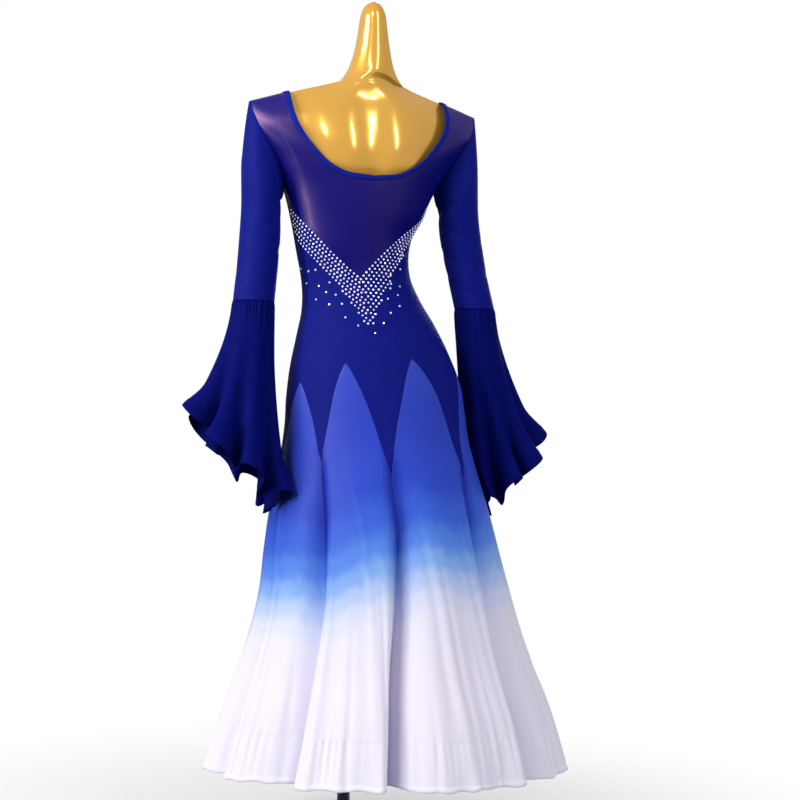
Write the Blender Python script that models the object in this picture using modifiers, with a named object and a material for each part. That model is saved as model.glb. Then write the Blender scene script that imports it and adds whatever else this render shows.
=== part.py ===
"""Long-sleeved ballroom dress on a limbless dress form.

Metres, +Z up, +X is the wearer's left and +Y the wearer's back. The origin is
the middle of the stand's foot. All cloth lies on one surface, given by rings:
a point is an angle round the body, in degrees from the middle of the back
towards the wearer's left, and a level, the height of its ring at the middle.
"""

import math

import bmesh
import bpy
from mathutils import Vector

WALL = 0.0015  # thickness of every cloth wall
SEAM = 0.0003  # how far each piece stays back from a seam line
RIDGE_SEAM = 0.0012  # the same at the shoulder seam, where the walls lean together
UNDER = 0.0076  # how far the form lies below the outer face of the cloth
SHOULDER_SHIFT = -0.009  # the sleeves hang this much towards the wearer's right
STRAP = 7  # columns of a panel that end on the shoulder seam
RIDGE = 1.484  # level of the shoulder seam
ARMPIT = 1.250
SIDE_V = 1.222  # level where the V of the yoke meets the side seam
MIDDLE_V = 1.079  # level of the V's point
HEM_Z = 0.150
HEM_LIFT = 0.020  # the hem stands this much higher at the back than at the side
BAND = 0.080  # height of the gathered hem band
BINDING_RAISE = 0.0006
GODETS = 8
COLUMNS = 10  # columns of faces in each godet, crowded towards its seams
FLOUNCE_WAVES = 8
FLOUNCE_COLUMNS = 48
FLOUNCE_LIFT = 0.040  # a flounce's hem is this much higher at its outermost roll
PULL = 7.0  # degrees that the close-fitting back is pulled round the body

# Rings of the dress, outer face of the cloth. fall is how much lower a point
# lies for each metre that it is out from the middle, and rise is the same
# towards the wearer's right only, from the tilt of the hips.
# level, half width, back depth, front depth, shift x, shift y, fall, rise
DRESS_RINGS = [
    (0.110, 0.362, 0.380, 0.345, -0.065, 0.060, 0.0, 0.00),
    (0.150, 0.355, 0.370, 0.338, -0.068, 0.058, 0.0, 0.00),
    (0.260, 0.322, 0.332, 0.302, -0.070, 0.050, 0.0, 0.00),
    (0.360, 0.284, 0.290, 0.264, -0.067, 0.044, 0.0, 0.00),
    (0.463, 0.252, 0.256, 0.232, -0.065, 0.036, 0.0, 0.00),
    (0.560, 0.230, 0.230, 0.208, -0.057, 0.029, 0.0, 0.01),
    (0.641, 0.212, 0.204, 0.184, -0.051, 0.025, 0.0, 0.02),
    (0.705, 0.196, 0.180, 0.160, -0.047, 0.022, 0.0, 0.03),
    (0.760, 0.184, 0.158, 0.138, -0.044, 0.019, 0.0, 0.05),
    (0.810, 0.178, 0.141, 0.121, -0.043, 0.017, 0.0, 0.07),
    (0.860, 0.173, 0.129, 0.111, -0.040, 0.014, 0.0, 0.09),
    (0.920, 0.158, 0.115, 0.104, -0.032, 0.010, 0.0, 0.10),
    (0.980, 0.137, 0.098, 0.096, -0.024, 0.005, 0.0, 0.10),
    (1.030, 0.117, 0.085, 0.088, -0.014, 0.002, 0.0, 0.10),
    (1.080, 0.107, 0.078, 0.084, -0.003, 0.000, 0.0, 0.10),
    (1.142, 0.113, 0.083, 0.096, 0.003, 0.000, 0.0, 0.08),
    (1.195, 0.131, 0.089, 0.113, -0.004, 0.000, 0.0, 0.05),
    (1.250, 0.150, 0.094, 0.122, -0.007, 0.000, 0.0, 0.02),
    (1.300, 0.176, 0.096, 0.112, -0.009, 0.000, 0.03, 0.0),
    (1.345, 0.201, 0.093, 0.095, -0.011, 0.000, 0.08, 0.0),
    (1.390, 0.221, 0.082, 0.077, -0.012, 0.000, 0.15, 0.0),
    (1.425, 0.229, 0.067, 0.061, -0.012, 0.000, 0.22, 0.0),
    (1.455, 0.232, 0.049, 0.044, -0.012, 0.000, 0.28, 0.0),
    (1.476, 0.232, 0.030, 0.027, -0.012, 0.000, 0.31, 0.0),
    (1.482, 0.232, 0.018, 0.016, -0.012, 0.000, 0.32, 0.0),
    (1.484, 0.232, 0.000, 0.000, -0.012, 0.000, 0.32, 0.0),
]

# Rings of the form below and above the part that follows the dress.
# level, half width, back depth, front depth, shift x, shift y, fall, rise, core
# core is how much deeper the section is behind and before the neck.
FORM_FOOT = [
    (0.712, 0.110, 0.085, 0.070, -0.044, 0.018, 0.0, 0.00, 0.0),
    (0.722, 0.145, 0.112, 0.095, -0.044, 0.018, 0.0, 0.03, 0.0),
    (0.765, 0.163, 0.130, 0.112, -0.044, 0.018, 0.0, 0.05, 0.0),
]
FORM_HEAD = [
    (1.300, 0.160, 0.0915, 0.107, -0.009, 0.0, 0.02, 0.0, 0.000),
    (1.345, 0.178, 0.0850, 0.088, -0.011, 0.0, 0.06, 0.0, 0.000),
    (1.395, 0.187, 0.0690, 0.065, -0.012, 0.0, 0.15, 0.0, 0.000),
    (1.430, 0.185, 0.0530, 0.049, -0.012, 0.0, 0.20, 0.0, 0.003),
    (1.456, 0.178, 0.0330, 0.030, -0.012, 0.0, 0.25, 0.0, 0.016),
    (1.4713, 0.166, 0.0160, 0.015, -0.013, 0.0, 0.26, 0.0, 0.030),
    (1.478, 0.112, 0.0150, 0.014, -0.020, 0.0, 0.31, 0.0, 0.030),
    (1.485, 0.077, 0.0190, 0.018, -0.024, 0.0, 0.42, 0.0, 0.025),
    (1.494, 0.054, 0.0290, 0.028, -0.026, 0.0, 0.42, 0.0, 0.012),
    (1.508, 0.0425, 0.037, 0.037, -0.027, 0.0, 0.15, 0.0, 0.000),
    (1.530, 0.0355, 0.034, 0.034, -0.028, 0.0, 0.0, 0.0, 0.000),
    (1.570, 0.0295, 0.029, 0.029, -0.028, 0.0, 0.0, 0.0, 0.000),
    (1.598, 0.0250, 0.025, 0.025, -0.028, 0.0, 0.0, 0.0, 0.000),
    (1.614, 0.0170, 0.017, 0.017, -0.028, 0.0, 0.0, 0.0, 0.000),
    (1.621, 0.0070, 0.007, 0.007, -0.028, 0.0, 0.0, 0.0, 0.000),
]

# Folds that drop from the seams between godets.
# seam angle, level of the dagger's tip, drift at the hem, depth at the hem,
# half width on the side of smaller angles, half width on the other side
SEAM_FOLDS = [
    (0, 0.710, 11.0, 0.075, 5.0, 3.4),
    (45, 0.735, 6.0, 0.060, 3.4, 6.0),
    (90, 0.728, -9.0, 0.055, 3.6, 6.0),
    (135, 0.722, 2.0, 0.055, 5.0, 4.0),
    (180, 0.722, -4.0, 0.060, 4.0, 5.5),
    (225, 0.722, 3.0, 0.055, 5.0, 4.0),
    (270, 0.720, 8.0, 0.050, 4.0, 5.5),
    (315, 0.700, 9.0, 0.070, 6.0, 3.6),
]
# Softer folds inside the godets: angle at the hem, depth, half width
SOFT_FOLDS = [
    (24, 0.016, 7.0),
    (36, 0.010, 5.0),
    (62, 0.018, 6.0),
    (103, 0.020, 7.0),
    (118, 0.014, 6.0),
    (152, 0.022, 7.0),
    (164, 0.012, 5.0),
    (197, 0.022, 7.0),
    (210, 0.012, 5.0),
    (243, 0.018, 7.0),
    (258, 0.012, 5.0),
    (293, 0.022, 7.0),
    (308, 0.014, 5.0),
    (341, 0.020, 7.0),
    (355, 0.010, 5.0),
]
# Level of the point of each godet, counted from the middle of the back
GODET_TOPS = [0.922, 0.892, 0.892, 0.900, 0.902, 0.892, 0.886, 0.920]

# The neckline, inner edge and the seam of its binding, from the middle of the
# back or front to the shoulder seam.
# angle, level, angle of the binding's seam, level of the binding's seam
NECK_BACK = [
    (0.0, 1.270, 0.0, 1.260),
    (20.0, 1.279, 21.6, 1.270),
    (33.0, 1.308, 36.2, 1.302),
    (39.6, 1.360, 43.2, 1.358),
    (41.2, 1.415, 44.6, 1.414),
    (41.3, 1.455, 44.7, 1.455),
    (41.3, RIDGE, 44.7, RIDGE),
]
NECK_FRONT = [
    (0.0, 1.345, 0.0, 1.335),
    (14.5, 1.351, 15.4, 1.341),
    (26.0, 1.369, 28.2, 1.360),
    (35.0, 1.398, 38.2, 1.392),
    (39.8, 1.432, 43.1, 1.430),
    (41.3, 1.462, 44.7, 1.461),
    (41.3, RIDGE, 44.7, RIDGE),
]
NECK_TURN = 2  # row of both tables where the neckline turns up into the strap
# The armhole: level, angle from the middle of the back or front
ARMHOLE = [
    (ARMPIT, 90.0),
    (1.275, 80.5),
    (1.305, 75.0),
    (1.345, 72.0),
    (1.390, 71.5),
    (1.420, 72.0),
    (1.450, 73.5),
    (1.474, 75.5),
    (RIDGE, 78.0),
]

# Sleeve rings below the armhole, on the wearer's left.
# level, middle x, middle y, half width, half depth, lift of the outer side
SLEEVE_RINGS = [
    (1.252, 0.199, 0.004, 0.0375, 0.0460, 0.032),
    (1.195, 0.198, 0.004, 0.0370, 0.0430, 0.018),
    (1.145, 0.200, 0.006, 0.0380, 0.0400, 0.008),
    (1.090, 0.204, 0.008, 0.0385, 0.0380, 0.000),
    (1.0275, 0.210, 0.010, 0.0390, 0.0370, 0.000),
]
# side, its sign, how far the cuff swings out, hem middle x, middle y,
# hem half width, half depth, level of the hem outside and at the body
SIDES = [
    ("left", 1, 0.000, 0.241, 0.050, 0.078, 0.078, 0.775, 0.640),
    ("right", -1, 0.027, 0.313, -0.006, 0.060, 0.084, 0.735, 0.632),
]

POLE_RADIUS = 0.0125
BASE_RADIUS = 0.150
BASE_HEIGHT = 0.012
COLLAR_RADIUS = 0.024
COLLAR_HEIGHT = 0.045
POLE_TOP = 0.7117

COLOURS = {
    "gold": ((0.62, 0.36, 0.08), 0.18, 1.0),
    "steel": ((0.55, 0.55, 0.58), 0.22, 1.0),
    "mesh": ((0.012, 0.010, 0.16), 0.75, 0.0),
    "knit": ((0.006, 0.009, 0.24), 0.80, 0.0),
    "chiffon": ((0.05, 0.08, 0.62), 0.45, 0.0),
    "white_chiffon": ((0.86, 0.84, 0.92), 0.50, 0.0),
}


def empty_scene():
    for obj in list(bpy.data.objects):
        bpy.data.objects.remove(obj, do_unlink=True)


def between(table, key, column=0):
    """The row of a table at a key, on a smooth curve through its rows."""
    last = len(table) - 1
    falling = table[0][column] > table[last][column]
    i = 0
    while i < last - 1 and (table[i + 1][column] < key) != falling:
        i += 1
    a, b = table[i], table[i + 1]
    before, after = table[max(i - 1, 0)], table[min(i + 2, last)]
    span = b[column] - a[column]
    s = min(max((key - a[column]) / span, 0.0), 1.0)
    row = []
    for p, q, r, w in zip(before, a, b, after):
        slope_in = (r - p) * span / (b[column] - before[column])
        slope_out = (w - q) * span / (after[column] - a[column])
        row.append(
            q * (1 + 2 * s) * (1 - s) ** 2
            + slope_in * s * (1 - s) ** 2
            + r * s * s * (3 - 2 * s)
            + slope_out * s * s * (s - 1)
        )
    return row


def signed(angle):
    """An angle as -180 to 180 degrees."""
    return (angle + 180.0) % 360.0 - 180.0


def smooth(value, low, high):
    """0 at low, 1 at high, with soft ends."""
    s = min(max((value - low) / (high - low), 0.0), 1.0)
    return s * s * (3 - 2 * s)


def hem_level(angle):
    return HEM_Z + HEM_LIFT * math.cos(math.radians(angle))


def fold_growth(level, start=0.76):
    """0 above the folds, 1 at the hem."""
    return max(0.0, min(1.0, (start - level) / (start - HEM_Z)))


def seam_angle(number, level):
    """Where a seam between godets runs, as an angle, at a level."""
    angle, tip, drift = SEAM_FOLDS[number % GODETS][:3]
    grown = fold_growth(level, tip)
    turns = number // GODETS
    return angle + 360.0 * turns + drift * grown * (2 - grown)


def fold_depth(angle, level):
    """How far the skirt's folds draw the cloth in at a point, in metres."""
    depth = 0.0
    for number, (_, tip, _, deep, narrow, wide) in enumerate(SEAM_FOLDS):
        grown = fold_growth(level, tip + 0.02)
        if grown <= 0.0:
            continue
        off = signed(angle - seam_angle(number, level))
        width = (wide if off > 0 else narrow) * (1.0 + 0.5 * (1 - grown))
        depth += deep * grown**0.8 * math.exp(-abs(off / width) ** 1.7)
    for middle, deep, width in SOFT_FOLDS:
        grown = fold_growth(level, 0.62)
        if grown > 0.0:
            off = signed(angle - middle)
            depth += deep * grown**1.2 * math.exp(-((off / width) ** 2))
    return depth


def on_ring(ring, angle, inset=0.0):
    _, half, back, front, shift_x, shift_y, fall, rise = ring[:8]
    turn = math.radians(angle)
    deep = back if math.cos(turn) > 0 else front
    core = ring[8] if len(ring) > 8 else 0.0
    x = (half - inset) * math.sin(turn)
    y = (deep - min(inset, deep)) * math.cos(turn)
    y += math.copysign(core * math.exp(-((x / 0.045) ** 2)), y) * min(1.0, abs(y) / 0.004)
    z = ring[0] - fall * abs(x) - rise * x
    return Vector((x + shift_x, y + shift_y, z))


def pulled(angle, level):
    """How many degrees the back is pulled round the body, where it clings."""
    held = smooth(level, 0.60, 0.74) * (1 - smooth(level, 1.14, 1.27))
    return PULL * held * math.exp(-(((signed(angle) - 10.0) / 38.0) ** 2))


def cloth(angle, level):
    """A point of the outer face of the cloth."""
    turned = angle + pulled(angle, level)
    return on_ring(between(DRESS_RINGS, level), turned, fold_depth(angle, level))


def make_material(name):
    colour, roughness, metallic = COLOURS[name]
    material = bpy.data.materials.get(name) or bpy.data.materials.new(name)
    material.use_nodes = True
    shader = material.node_tree.nodes["Principled BSDF"]
    shader.inputs["Base Color"].default_value = (*colour, 1.0)
    shader.inputs["Roughness"].default_value = roughness
    shader.inputs["Metallic"].default_value = metallic
    return material


def add_object(name, patches, material, closed=False, thickness=None):
    """An object from patches, each rows of points. Closed rows join their ends."""
    bm = bmesh.new()
    for rows in patches:
        grid = [[bm.verts.new(point) for point in row] for row in rows]
        for low, high in zip(grid, grid[1:]):
            count = len(low)
            for i in range(count if closed else count - 1):
                j = (i + 1) % count
                bm.faces.new((low[i], low[j], high[j], high[i]))
    if thickness is None:
        bm.faces.new(list(reversed(grid[0])))
        bm.faces.new(grid[-1])
    bmesh.ops.remove_doubles(bm, verts=bm.verts, dist=0.00001)
    mesh = bpy.data.meshes.new(name)
    bm.to_mesh(mesh)
    bm.free()
    mesh.shade_smooth()
    obj = bpy.data.objects.new(name, mesh)
    obj.data.materials.append(make_material(material))
    COLLECTION.objects.link(obj)
    if thickness is not None:
        solidify = obj.modifiers.new("Cloth", "SOLIDIFY")
        solidify.thickness = thickness
        solidify.offset = -1.0
        solidify.use_even_offset = False
    return obj


def filled(bottom, top, left, right, reach=1.0, calm=1.0):
    """Rows of (angle, level) between a bottom and a top edge and two sides.

    The shape of each side fades out over reach, a share of the width, and the
    zigzag of the bottom over calm, a share of the height.
    """
    rows = []
    low, high = left[0][1], left[-1][1]
    base = max(level for _, level in bottom)
    width = len(bottom) - 1

    def plain(i, v):
        down, up = bottom[i], top[i]
        zigzag = (down[1] - base) * max(0.0, 1 - v / calm)
        return (1 - v) * down[0] + v * up[0], (1 - v) * base + v * up[1] + zigzag

    for near, far in zip(left, right):
        v = (near[1] - low) / (high - low)
        row = []
        for i in range(width + 1):
            at_left = max(0.0, 1 - i / width / reach)
            at_right = max(0.0, 1 - (1 - i / width) / reach)
            spot = []
            for k in (0, 1):
                value = plain(i, v)[k]
                value += at_left * (near[k] - plain(0, v)[k])
                value += at_right * (far[k] - plain(width, v)[k])
                spot.append(value)
            row.append(tuple(spot))
        rows.append(row)
    return rows


def crowded(share):
    """A share across a godet, with steps that shorten towards both seams."""
    return share - 0.55 * math.sin(2 * math.pi * share) / (2 * math.pi)


def godet_drop(share):
    """How far the leaf-shaped top has fallen, from its point (0) to a seam (1)."""
    return 0.35 * share + 0.65 * share**2.2


def dagger_edge(angle):
    """Level of the line between the daggers and the godets."""
    place = (angle % 360.0) / 45.0
    number = min(int(place), GODETS - 1)
    share = abs(2 * (place - number) - 1)
    side = number if place - number < 0.5 else (number + 1) % GODETS
    tip = SEAM_FOLDS[side][1]
    top = GODET_TOPS[number]
    return top - (top - tip) * godet_drop(share)


def edge_gap(angle):
    """SEAM measured straight up, where it is kept square to the dagger's edge."""
    step = 0.4
    here = angle % 45.0
    base = angle - here
    levels = []
    for off in (-step, 0.0, step):
        levels.append(dagger_edge(base + min(max(here + off, 0.0), 45.0 - 1e-6)))
    rise = max(abs(levels[0] - levels[1]), abs(levels[2] - levels[1]))
    run = 0.16 * math.radians(step)
    return 1.5 * SEAM * math.hypot(1.0, rise / run)


def panel_angles(start, count):
    """Angles of the columns over a number of godets from a seam, without drift."""
    angles = []
    for number in range(count):
        for i in range(COLUMNS):
            angles.append(start + 45.0 * (number + crowded(i / COLUMNS)))
    angles.append(start + 45.0 * count)
    return angles


def v_level(angle):
    """The V-shaped line between the yoke and the back bodice."""
    share = min(abs(angle) / 90.0, 1.0)
    return MIDDLE_V + (SIDE_V - MIDDLE_V) * (1.25 * share - 0.25 * share**2)


def neck_by_share(neck):
    """The neck table with each row's share of the way to the shoulder in front."""
    front = neck is NECK_FRONT
    points = [cloth(180.0 - row[0] if front else row[0], row[1]) for row in neck]
    lengths = [0.0]
    for a, b in zip(points, points[1:]):
        lengths.append(lengths[-1] + (b - a).length)
    return [(length / lengths[-1], *row) for length, row in zip(lengths, neck)]


def neck_seam(neck, start, end, steps, ease=1.0):
    """(angle, level) pairs along the binding's seam between two shares."""
    table = neck_by_share(neck)
    edge = []
    for j in range(steps + 1):
        share = end - (end - start) * (1 - j / steps) ** ease
        edge.append(tuple(between(table, share)[3:5]))
    return edge


def mirrored(edge):
    """The edge on the other side of the middle line."""
    return [(-angle, level) for angle, level in edge]


def armhole_point(level):
    return between(ARMHOLE, level)[1], level


def side_of_panel(low, high, below, above):
    """Up the side seam to the armpit and along the armhole to a level."""
    edge = [(90.0, low + (ARMPIT - low) * j / below) for j in range(below)]
    for j in range(above + 1):
        edge.append(armhole_point(ARMPIT + (high - ARMPIT) * j / above))
    return edge


def panel_with_straps(bottom, neck, below, above, strap_steps, calm=1.0):
    """A body patch up to the turn of the neckline, and a strap at each side."""
    count = len(bottom) - 1
    turn = neck_by_share(neck)[NECK_TURN][0]
    curve = neck_seam(neck, turn, 0.0, count // 2 - STRAP)
    inner = curve[0]
    outer = armhole_point(inner[1])
    across = []
    for i in range(STRAP):
        across.append(tuple(outer[k] + (inner[k] - outer[k]) * i / STRAP for k in (0, 1)))
    half = across + curve
    top = mirrored(half) + list(reversed(half[:-1]))
    left = mirrored(side_of_panel(bottom[0][1], inner[1], below, above))
    right = side_of_panel(bottom[-1][1], inner[1], below, above)
    body = filled(bottom, top, left, right, STRAP / count, calm)

    corner, seam = ARMHOLE[-1][1], neck[-1][2]
    ridge = [(corner + (seam - corner) * i / STRAP, RIDGE) for i in range(STRAP + 1)]
    by_arm = []
    for j in range(strap_steps + 1):
        by_arm.append(armhole_point(RIDGE - (RIDGE - inner[1]) * (1 - j / strap_steps) ** 1.4))
    by_neck = neck_seam(neck, turn, 1.0, strap_steps, 1.4)
    strap = filled(across + [inner], ridge, by_arm, by_neck)
    other = [list(reversed(mirrored(row))) for row in strap]
    return [body, [list(reversed(row)) for row in strap], [list(reversed(row)) for row in other]]


def lifted(rows, back=True):
    """Points of (angle, level) rows, kept apart at the side and shoulder seams."""
    points = []
    for row in rows:
        line = []
        for angle, level in row:
            point = cloth(angle if back else 180.0 - angle, level)
            aside = 0.0
            if abs(abs(angle) - 90.0) < 0.01:
                aside = SEAM
            if level > RIDGE - 0.001:
                aside = RIDGE_SEAM
            point.y += aside if back else -aside
            line.append(point)
        points.append(line)
    if back:
        points = [list(reversed(line)) for line in points]
    return points


def build_yoke():
    bottom = [(angle, v_level(angle) + SEAM) for angle in panel_angles(-90.0, 4)]
    patches = panel_with_straps(bottom, NECK_BACK, 1, 4, 7)
    add_object("yoke_back", [lifted(rows) for rows in patches], "mesh", thickness=WALL)


def dagger_bottom(angles, front=False):
    edge = []
    for angle in angles:
        turned = 180.0 - angle if front else angle
        edge.append((angle, dagger_edge(turned) + edge_gap(turned)))
    return edge


def build_back_bodice():
    angles = panel_angles(-90.0, 4)
    bottom = dagger_bottom(angles)
    top = [(angle, v_level(angle) - SEAM) for angle in angles]
    steps = 8
    sides = []
    for sign, end in ((-1, 0), (1, -1)):
        low, high = bottom[end][1], top[end][1]
        sides.append([(sign * 90.0, low + (high - low) * j / steps) for j in range(steps + 1)])
    rows = filled(bottom, top, *sides, calm=0.5)
    add_object("bodice_back", [lifted(rows)], "knit", thickness=WALL)


def build_front_bodice():
    bottom = dagger_bottom(panel_angles(-90.0, 4), front=True)
    patches = panel_with_straps(bottom, NECK_FRONT, 8, 3, 6, calm=0.4)
    pieces = [lifted(rows, back=False) for rows in patches]
    add_object("bodice_front", pieces, "knit", thickness=WALL)


def build_binding():
    """One closed band round the neck, between the panels and the inner edge."""
    rows = [[], []]
    steps = 15
    quarters = [(NECK_BACK, 1, False), (NECK_FRONT, 1, True), (NECK_FRONT, -1, True), (NECK_BACK, -1, False)]
    for neck, sign, front in quarters:
        table = neck_by_share(neck)
        shares = [1 - (1 - i / steps) ** 1.4 for i in range(steps)]
        upwards = (sign > 0) != front
        if not upwards:
            shares = [1 - (i / steps) ** 1.4 for i in range(steps)]
        for share in shares:
            _, angle, level, out_angle, out_level = between(table, share)
            for row, part in zip(rows, (0.0, 0.89)):
                here = angle + (out_angle - angle) * part
                height = level + (out_level - level) * part
                here = 180.0 - sign * here if front else sign * here
                point = cloth(here, height)
                row.append(point + Vector((0, 0, BINDING_RAISE)))
    add_object("neck_binding", [rows], "knit", closed=True, thickness=WALL)


def godet_rows(number):
    top_angles = panel_angles(45.0 * number, 1)
    rows = []
    steps = 10
    for j in range(steps + 1):
        down = (j / steps) ** 1.1
        row = []
        for i, top_angle in enumerate(top_angles):
            top = dagger_edge(top_angle - 1e-6 if i == COLUMNS else top_angle) - edge_gap(top_angle)
            share = i / COLUMNS
            low = hem_level(top_angle) + BAND + SEAM
            level = top + (low - top) * down
            left, right = seam_angle(number, level), seam_angle(number + 1, level)
            angle = left + (right - left) * crowded(share)
            row.append((angle, level, share))
        rows.append(row)
    return rows


def stay_back(angle, level, share):
    """The point moved SEAM away from the seam it would touch."""
    point = cloth(angle, level)
    if share in (0.0, 1.0):
        step = 0.5 if share == 0.0 else -0.5
        aside = cloth(angle + step, level) - point
        flat = Vector((aside.x, aside.y, 0.0))
        point += flat.normalized() * SEAM * 1.3
    return point


def build_godet(number):
    rows = [[stay_back(*spot) for spot in row] for row in godet_rows(number)]
    add_object(f"godet_{number + 1}", [rows], "chiffon", thickness=WALL)


def build_hem_band(number):
    """A quarter of the gathered band, under two godets."""
    rows = []
    steps = 2
    for j in range(steps + 1):
        row = []
        for part in (0, 1):
            godet = 2 * number + part
            for i in range(COLUMNS + part):
                top_angle = 45.0 * (godet + crowded(i / COLUMNS))
                high = hem_level(top_angle) + BAND - SEAM
                level = high - (BAND - SEAM) * j / steps
                left, right = seam_angle(godet, level), seam_angle(godet + 1, level)
                angle = left + (right - left) * crowded(i / COLUMNS)
                at_end = (part == 0 and i == 0) or (part == 1 and i == COLUMNS)
                side = 0.5 if not at_end else float(part)
                row.append(stay_back(angle, level, side))
        rows.append(row)
    add_object(f"hem_band_{number + 1}", [rows], "white_chiffon", thickness=WALL)


def armhole_loop(sign, count):
    """Points round an armhole from the shoulder corner by the back."""
    loop = []
    for i in range(count):
        share = i / count
        down = 2 * share if share <= 0.5 else 2 - 2 * share
        level = RIDGE + (ARMPIT - RIDGE) * (down * down * (3 - 2 * down) * 0.5 + down * 0.5)
        angle = between(ARMHOLE, level)[1]
        if share > 0.5:
            angle = 180.0 - angle
        point = cloth(sign * angle, level)
        point.x += sign * (WALL + 2 * SEAM)
        loop.append(point)
    return loop


def sleeve_point(ring, share, sign, swing):
    level, x, y, half, deep, lift = ring
    turn = 2 * math.pi * share
    across, along = math.cos(turn), math.sin(turn)
    return Vector((
        sign * (x + swing + half * across) + SHOULDER_SHIFT,
        y + deep * along,
        level + lift * across,
    ))


def sleeve_rows(sign, swing, count):
    """Rings of a sleeve, from the armhole to the seam of the flounce."""
    loop = armhole_loop(sign, count)
    top, last = SLEEVE_RINGS[0], SLEEVE_RINGS[-1]
    drop = top[0] - last[0]
    rows = []
    steps = 4
    for j in range(steps):
        part = j / steps
        row = []
        for i, start in enumerate(loop):
            end = sleeve_point(top, i / count, sign, 0.0)
            point = start.lerp(end, part)
            outer = math.cos(2 * math.pi * i / count)
            point.x += sign * 0.008 * outer * part * (1 - part)
            row.append(point)
        rows.append(row)
    for ring in SLEEVE_RINGS:
        out = swing * ((top[0] - ring[0]) / drop) ** 1.3
        rows.append([sleeve_point(ring, i / count, sign, out) for i in range(count)])
    return rows


def clear_of_skirt(point, margin):
    """The point moved out so that it keeps its margin to the skirt."""
    ring = between(DRESS_RINGS, point.z)
    x, y = point.x - ring[4], point.y - ring[5]
    deep = ring[2] if y > 0 else ring[3]
    far = math.hypot(x, y)
    share = math.hypot(x / ring[1], y / deep)
    least = 1.0 + margin / (far / share)
    if share < least:
        point.x = ring[4] + x * least / share
        point.y = ring[5] + y * least / share
    return point


def flounce_rows(side, count):
    _, sign, swing, mid_x, mid_y, half, deep, outside, inside = side
    top = SLEEVE_RINGS[-1]
    steps = 6
    rows = []
    for j in range(steps + 1):
        part = j / steps
        row = []
        for i in range(count):
            share = i / count
            start = sleeve_point(top, share, sign, swing)
            start.z -= 2 * SEAM
            turn = 2 * math.pi * share
            wave = math.sin(FLOUNCE_WAVES * turn + 0.7 * math.sin(turn))
            ripple = (0.017 + 0.004 * math.sin(3 * turn)) * wave * part**1.2
            flare = part**1.3
            x = mid_x + (half + ripple) * math.cos(turn)
            y = mid_y + (deep + ripple) * math.sin(turn)
            low = (outside + inside) / 2 + (outside - inside) / 2 * math.cos(turn)
            low += FLOUNCE_LIFT * max(math.cos(turn), 0.0) ** 6
            point = Vector((
                start.x + (sign * x + SHOULDER_SHIFT - start.x) * flare,
                start.y + (y - start.y) * flare,
                start.z + (low - start.z) * part,
            ))
            row.append(clear_of_skirt(point, 0.006 + 0.004 * (1 + wave) * part))
        rows.append(row)
    return rows


def build_sleeve(side):
    name, sign, swing = side[:3]
    count = 20
    rows = sleeve_rows(sign, swing, count)
    if sign > 0:
        rows = [list(reversed(row)) for row in rows]
    add_object(f"sleeve_{name}", [list(reversed(rows))], "knit", closed=True, thickness=WALL)


def build_flounce(side):
    rows = flounce_rows(side, FLOUNCE_COLUMNS)
    if side[1] > 0:
        rows = [list(reversed(row)) for row in rows]
    add_object(f"flounce_{side[0]}", [list(reversed(rows))], "chiffon", closed=True, thickness=WALL)


def form_rings():
    body = [ring for ring in DRESS_RINGS if 0.80 < ring[0] < 1.26]
    rings = list(FORM_FOOT)
    for level, half, back, front, shift_x, shift_y, fall, rise in body:
        inner = (half - UNDER, back - UNDER, front - UNDER)
        rings.append((level, *inner, shift_x, shift_y, fall, rise, 0.0))
    return rings + FORM_HEAD


def build_form():
    count = 28
    rows = []
    for ring in form_rings():
        rows.append([on_ring(ring, -360.0 * i / count) for i in range(count)])
    add_object("form_body", [rows], "gold", closed=True)


def build_turned(name, profile, material, at):
    """A turned piece from a profile at +X that runs from top to bottom."""
    mesh = bpy.data.meshes.new(name)
    ring = profile[0] == profile[-1]
    points = profile[:-1] if ring else profile
    edges = [(i, (i + 1) % len(points)) for i in range(len(profile) - 1)]
    mesh.from_pydata([(radius, 0.0, z) for radius, z in points], edges, [])
    obj = bpy.data.objects.new(name, mesh)
    obj.location = at
    obj.data.materials.append(make_material(material))
    COLLECTION.objects.link(obj)
    screw = obj.modifiers.new("Turn", "SCREW")
    screw.steps = 32
    screw.render_steps = 32
    screw.use_merge_vertices = True
    screw.merge_threshold = 0.00005
    screw.use_smooth_shade = True
    return obj


def build_stand():
    """A round foot, the collar that takes the pole, and the pole."""
    lip = 0.003
    bore = POLE_RADIUS + SEAM
    foot = [
        (0.0, BASE_HEIGHT),
        (BASE_RADIUS - lip, BASE_HEIGHT),
        (BASE_RADIUS, BASE_HEIGHT - lip),
        (BASE_RADIUS, 0.0),
        (0.0, 0.0),
    ]
    build_turned("stand_base", foot, "steel", (0.0, 0.0, 0.0))
    low = BASE_HEIGHT + SEAM
    high = BASE_HEIGHT + COLLAR_HEIGHT
    collar = [
        (bore, high),
        (COLLAR_RADIUS - lip, high),
        (COLLAR_RADIUS, high - lip),
        (COLLAR_RADIUS, low),
        (bore, low),
        (bore, high),
    ]
    build_turned("stand_collar", collar, "steel", (0.0, 0.0, 0.0))
    pole = [(0.0, POLE_TOP), (POLE_RADIUS, POLE_TOP), (POLE_RADIUS, low), (0.0, low)]
    build_turned("stand_pole", pole, "steel", (0.0, 0.0, 0.0))


empty_scene()
COLLECTION = bpy.data.collections.new("ballroom_dress")
bpy.context.scene.collection.children.link(COLLECTION)

build_form()
build_stand()
build_yoke()
build_back_bodice()
build_front_bodice()
build_binding()
for godet in range(GODETS):
    build_godet(godet)
for quarter in range(4):
    build_hem_band(quarter)
for arm in SIDES:
    build_sleeve(arm)
    build_flounce(arm)
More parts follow.
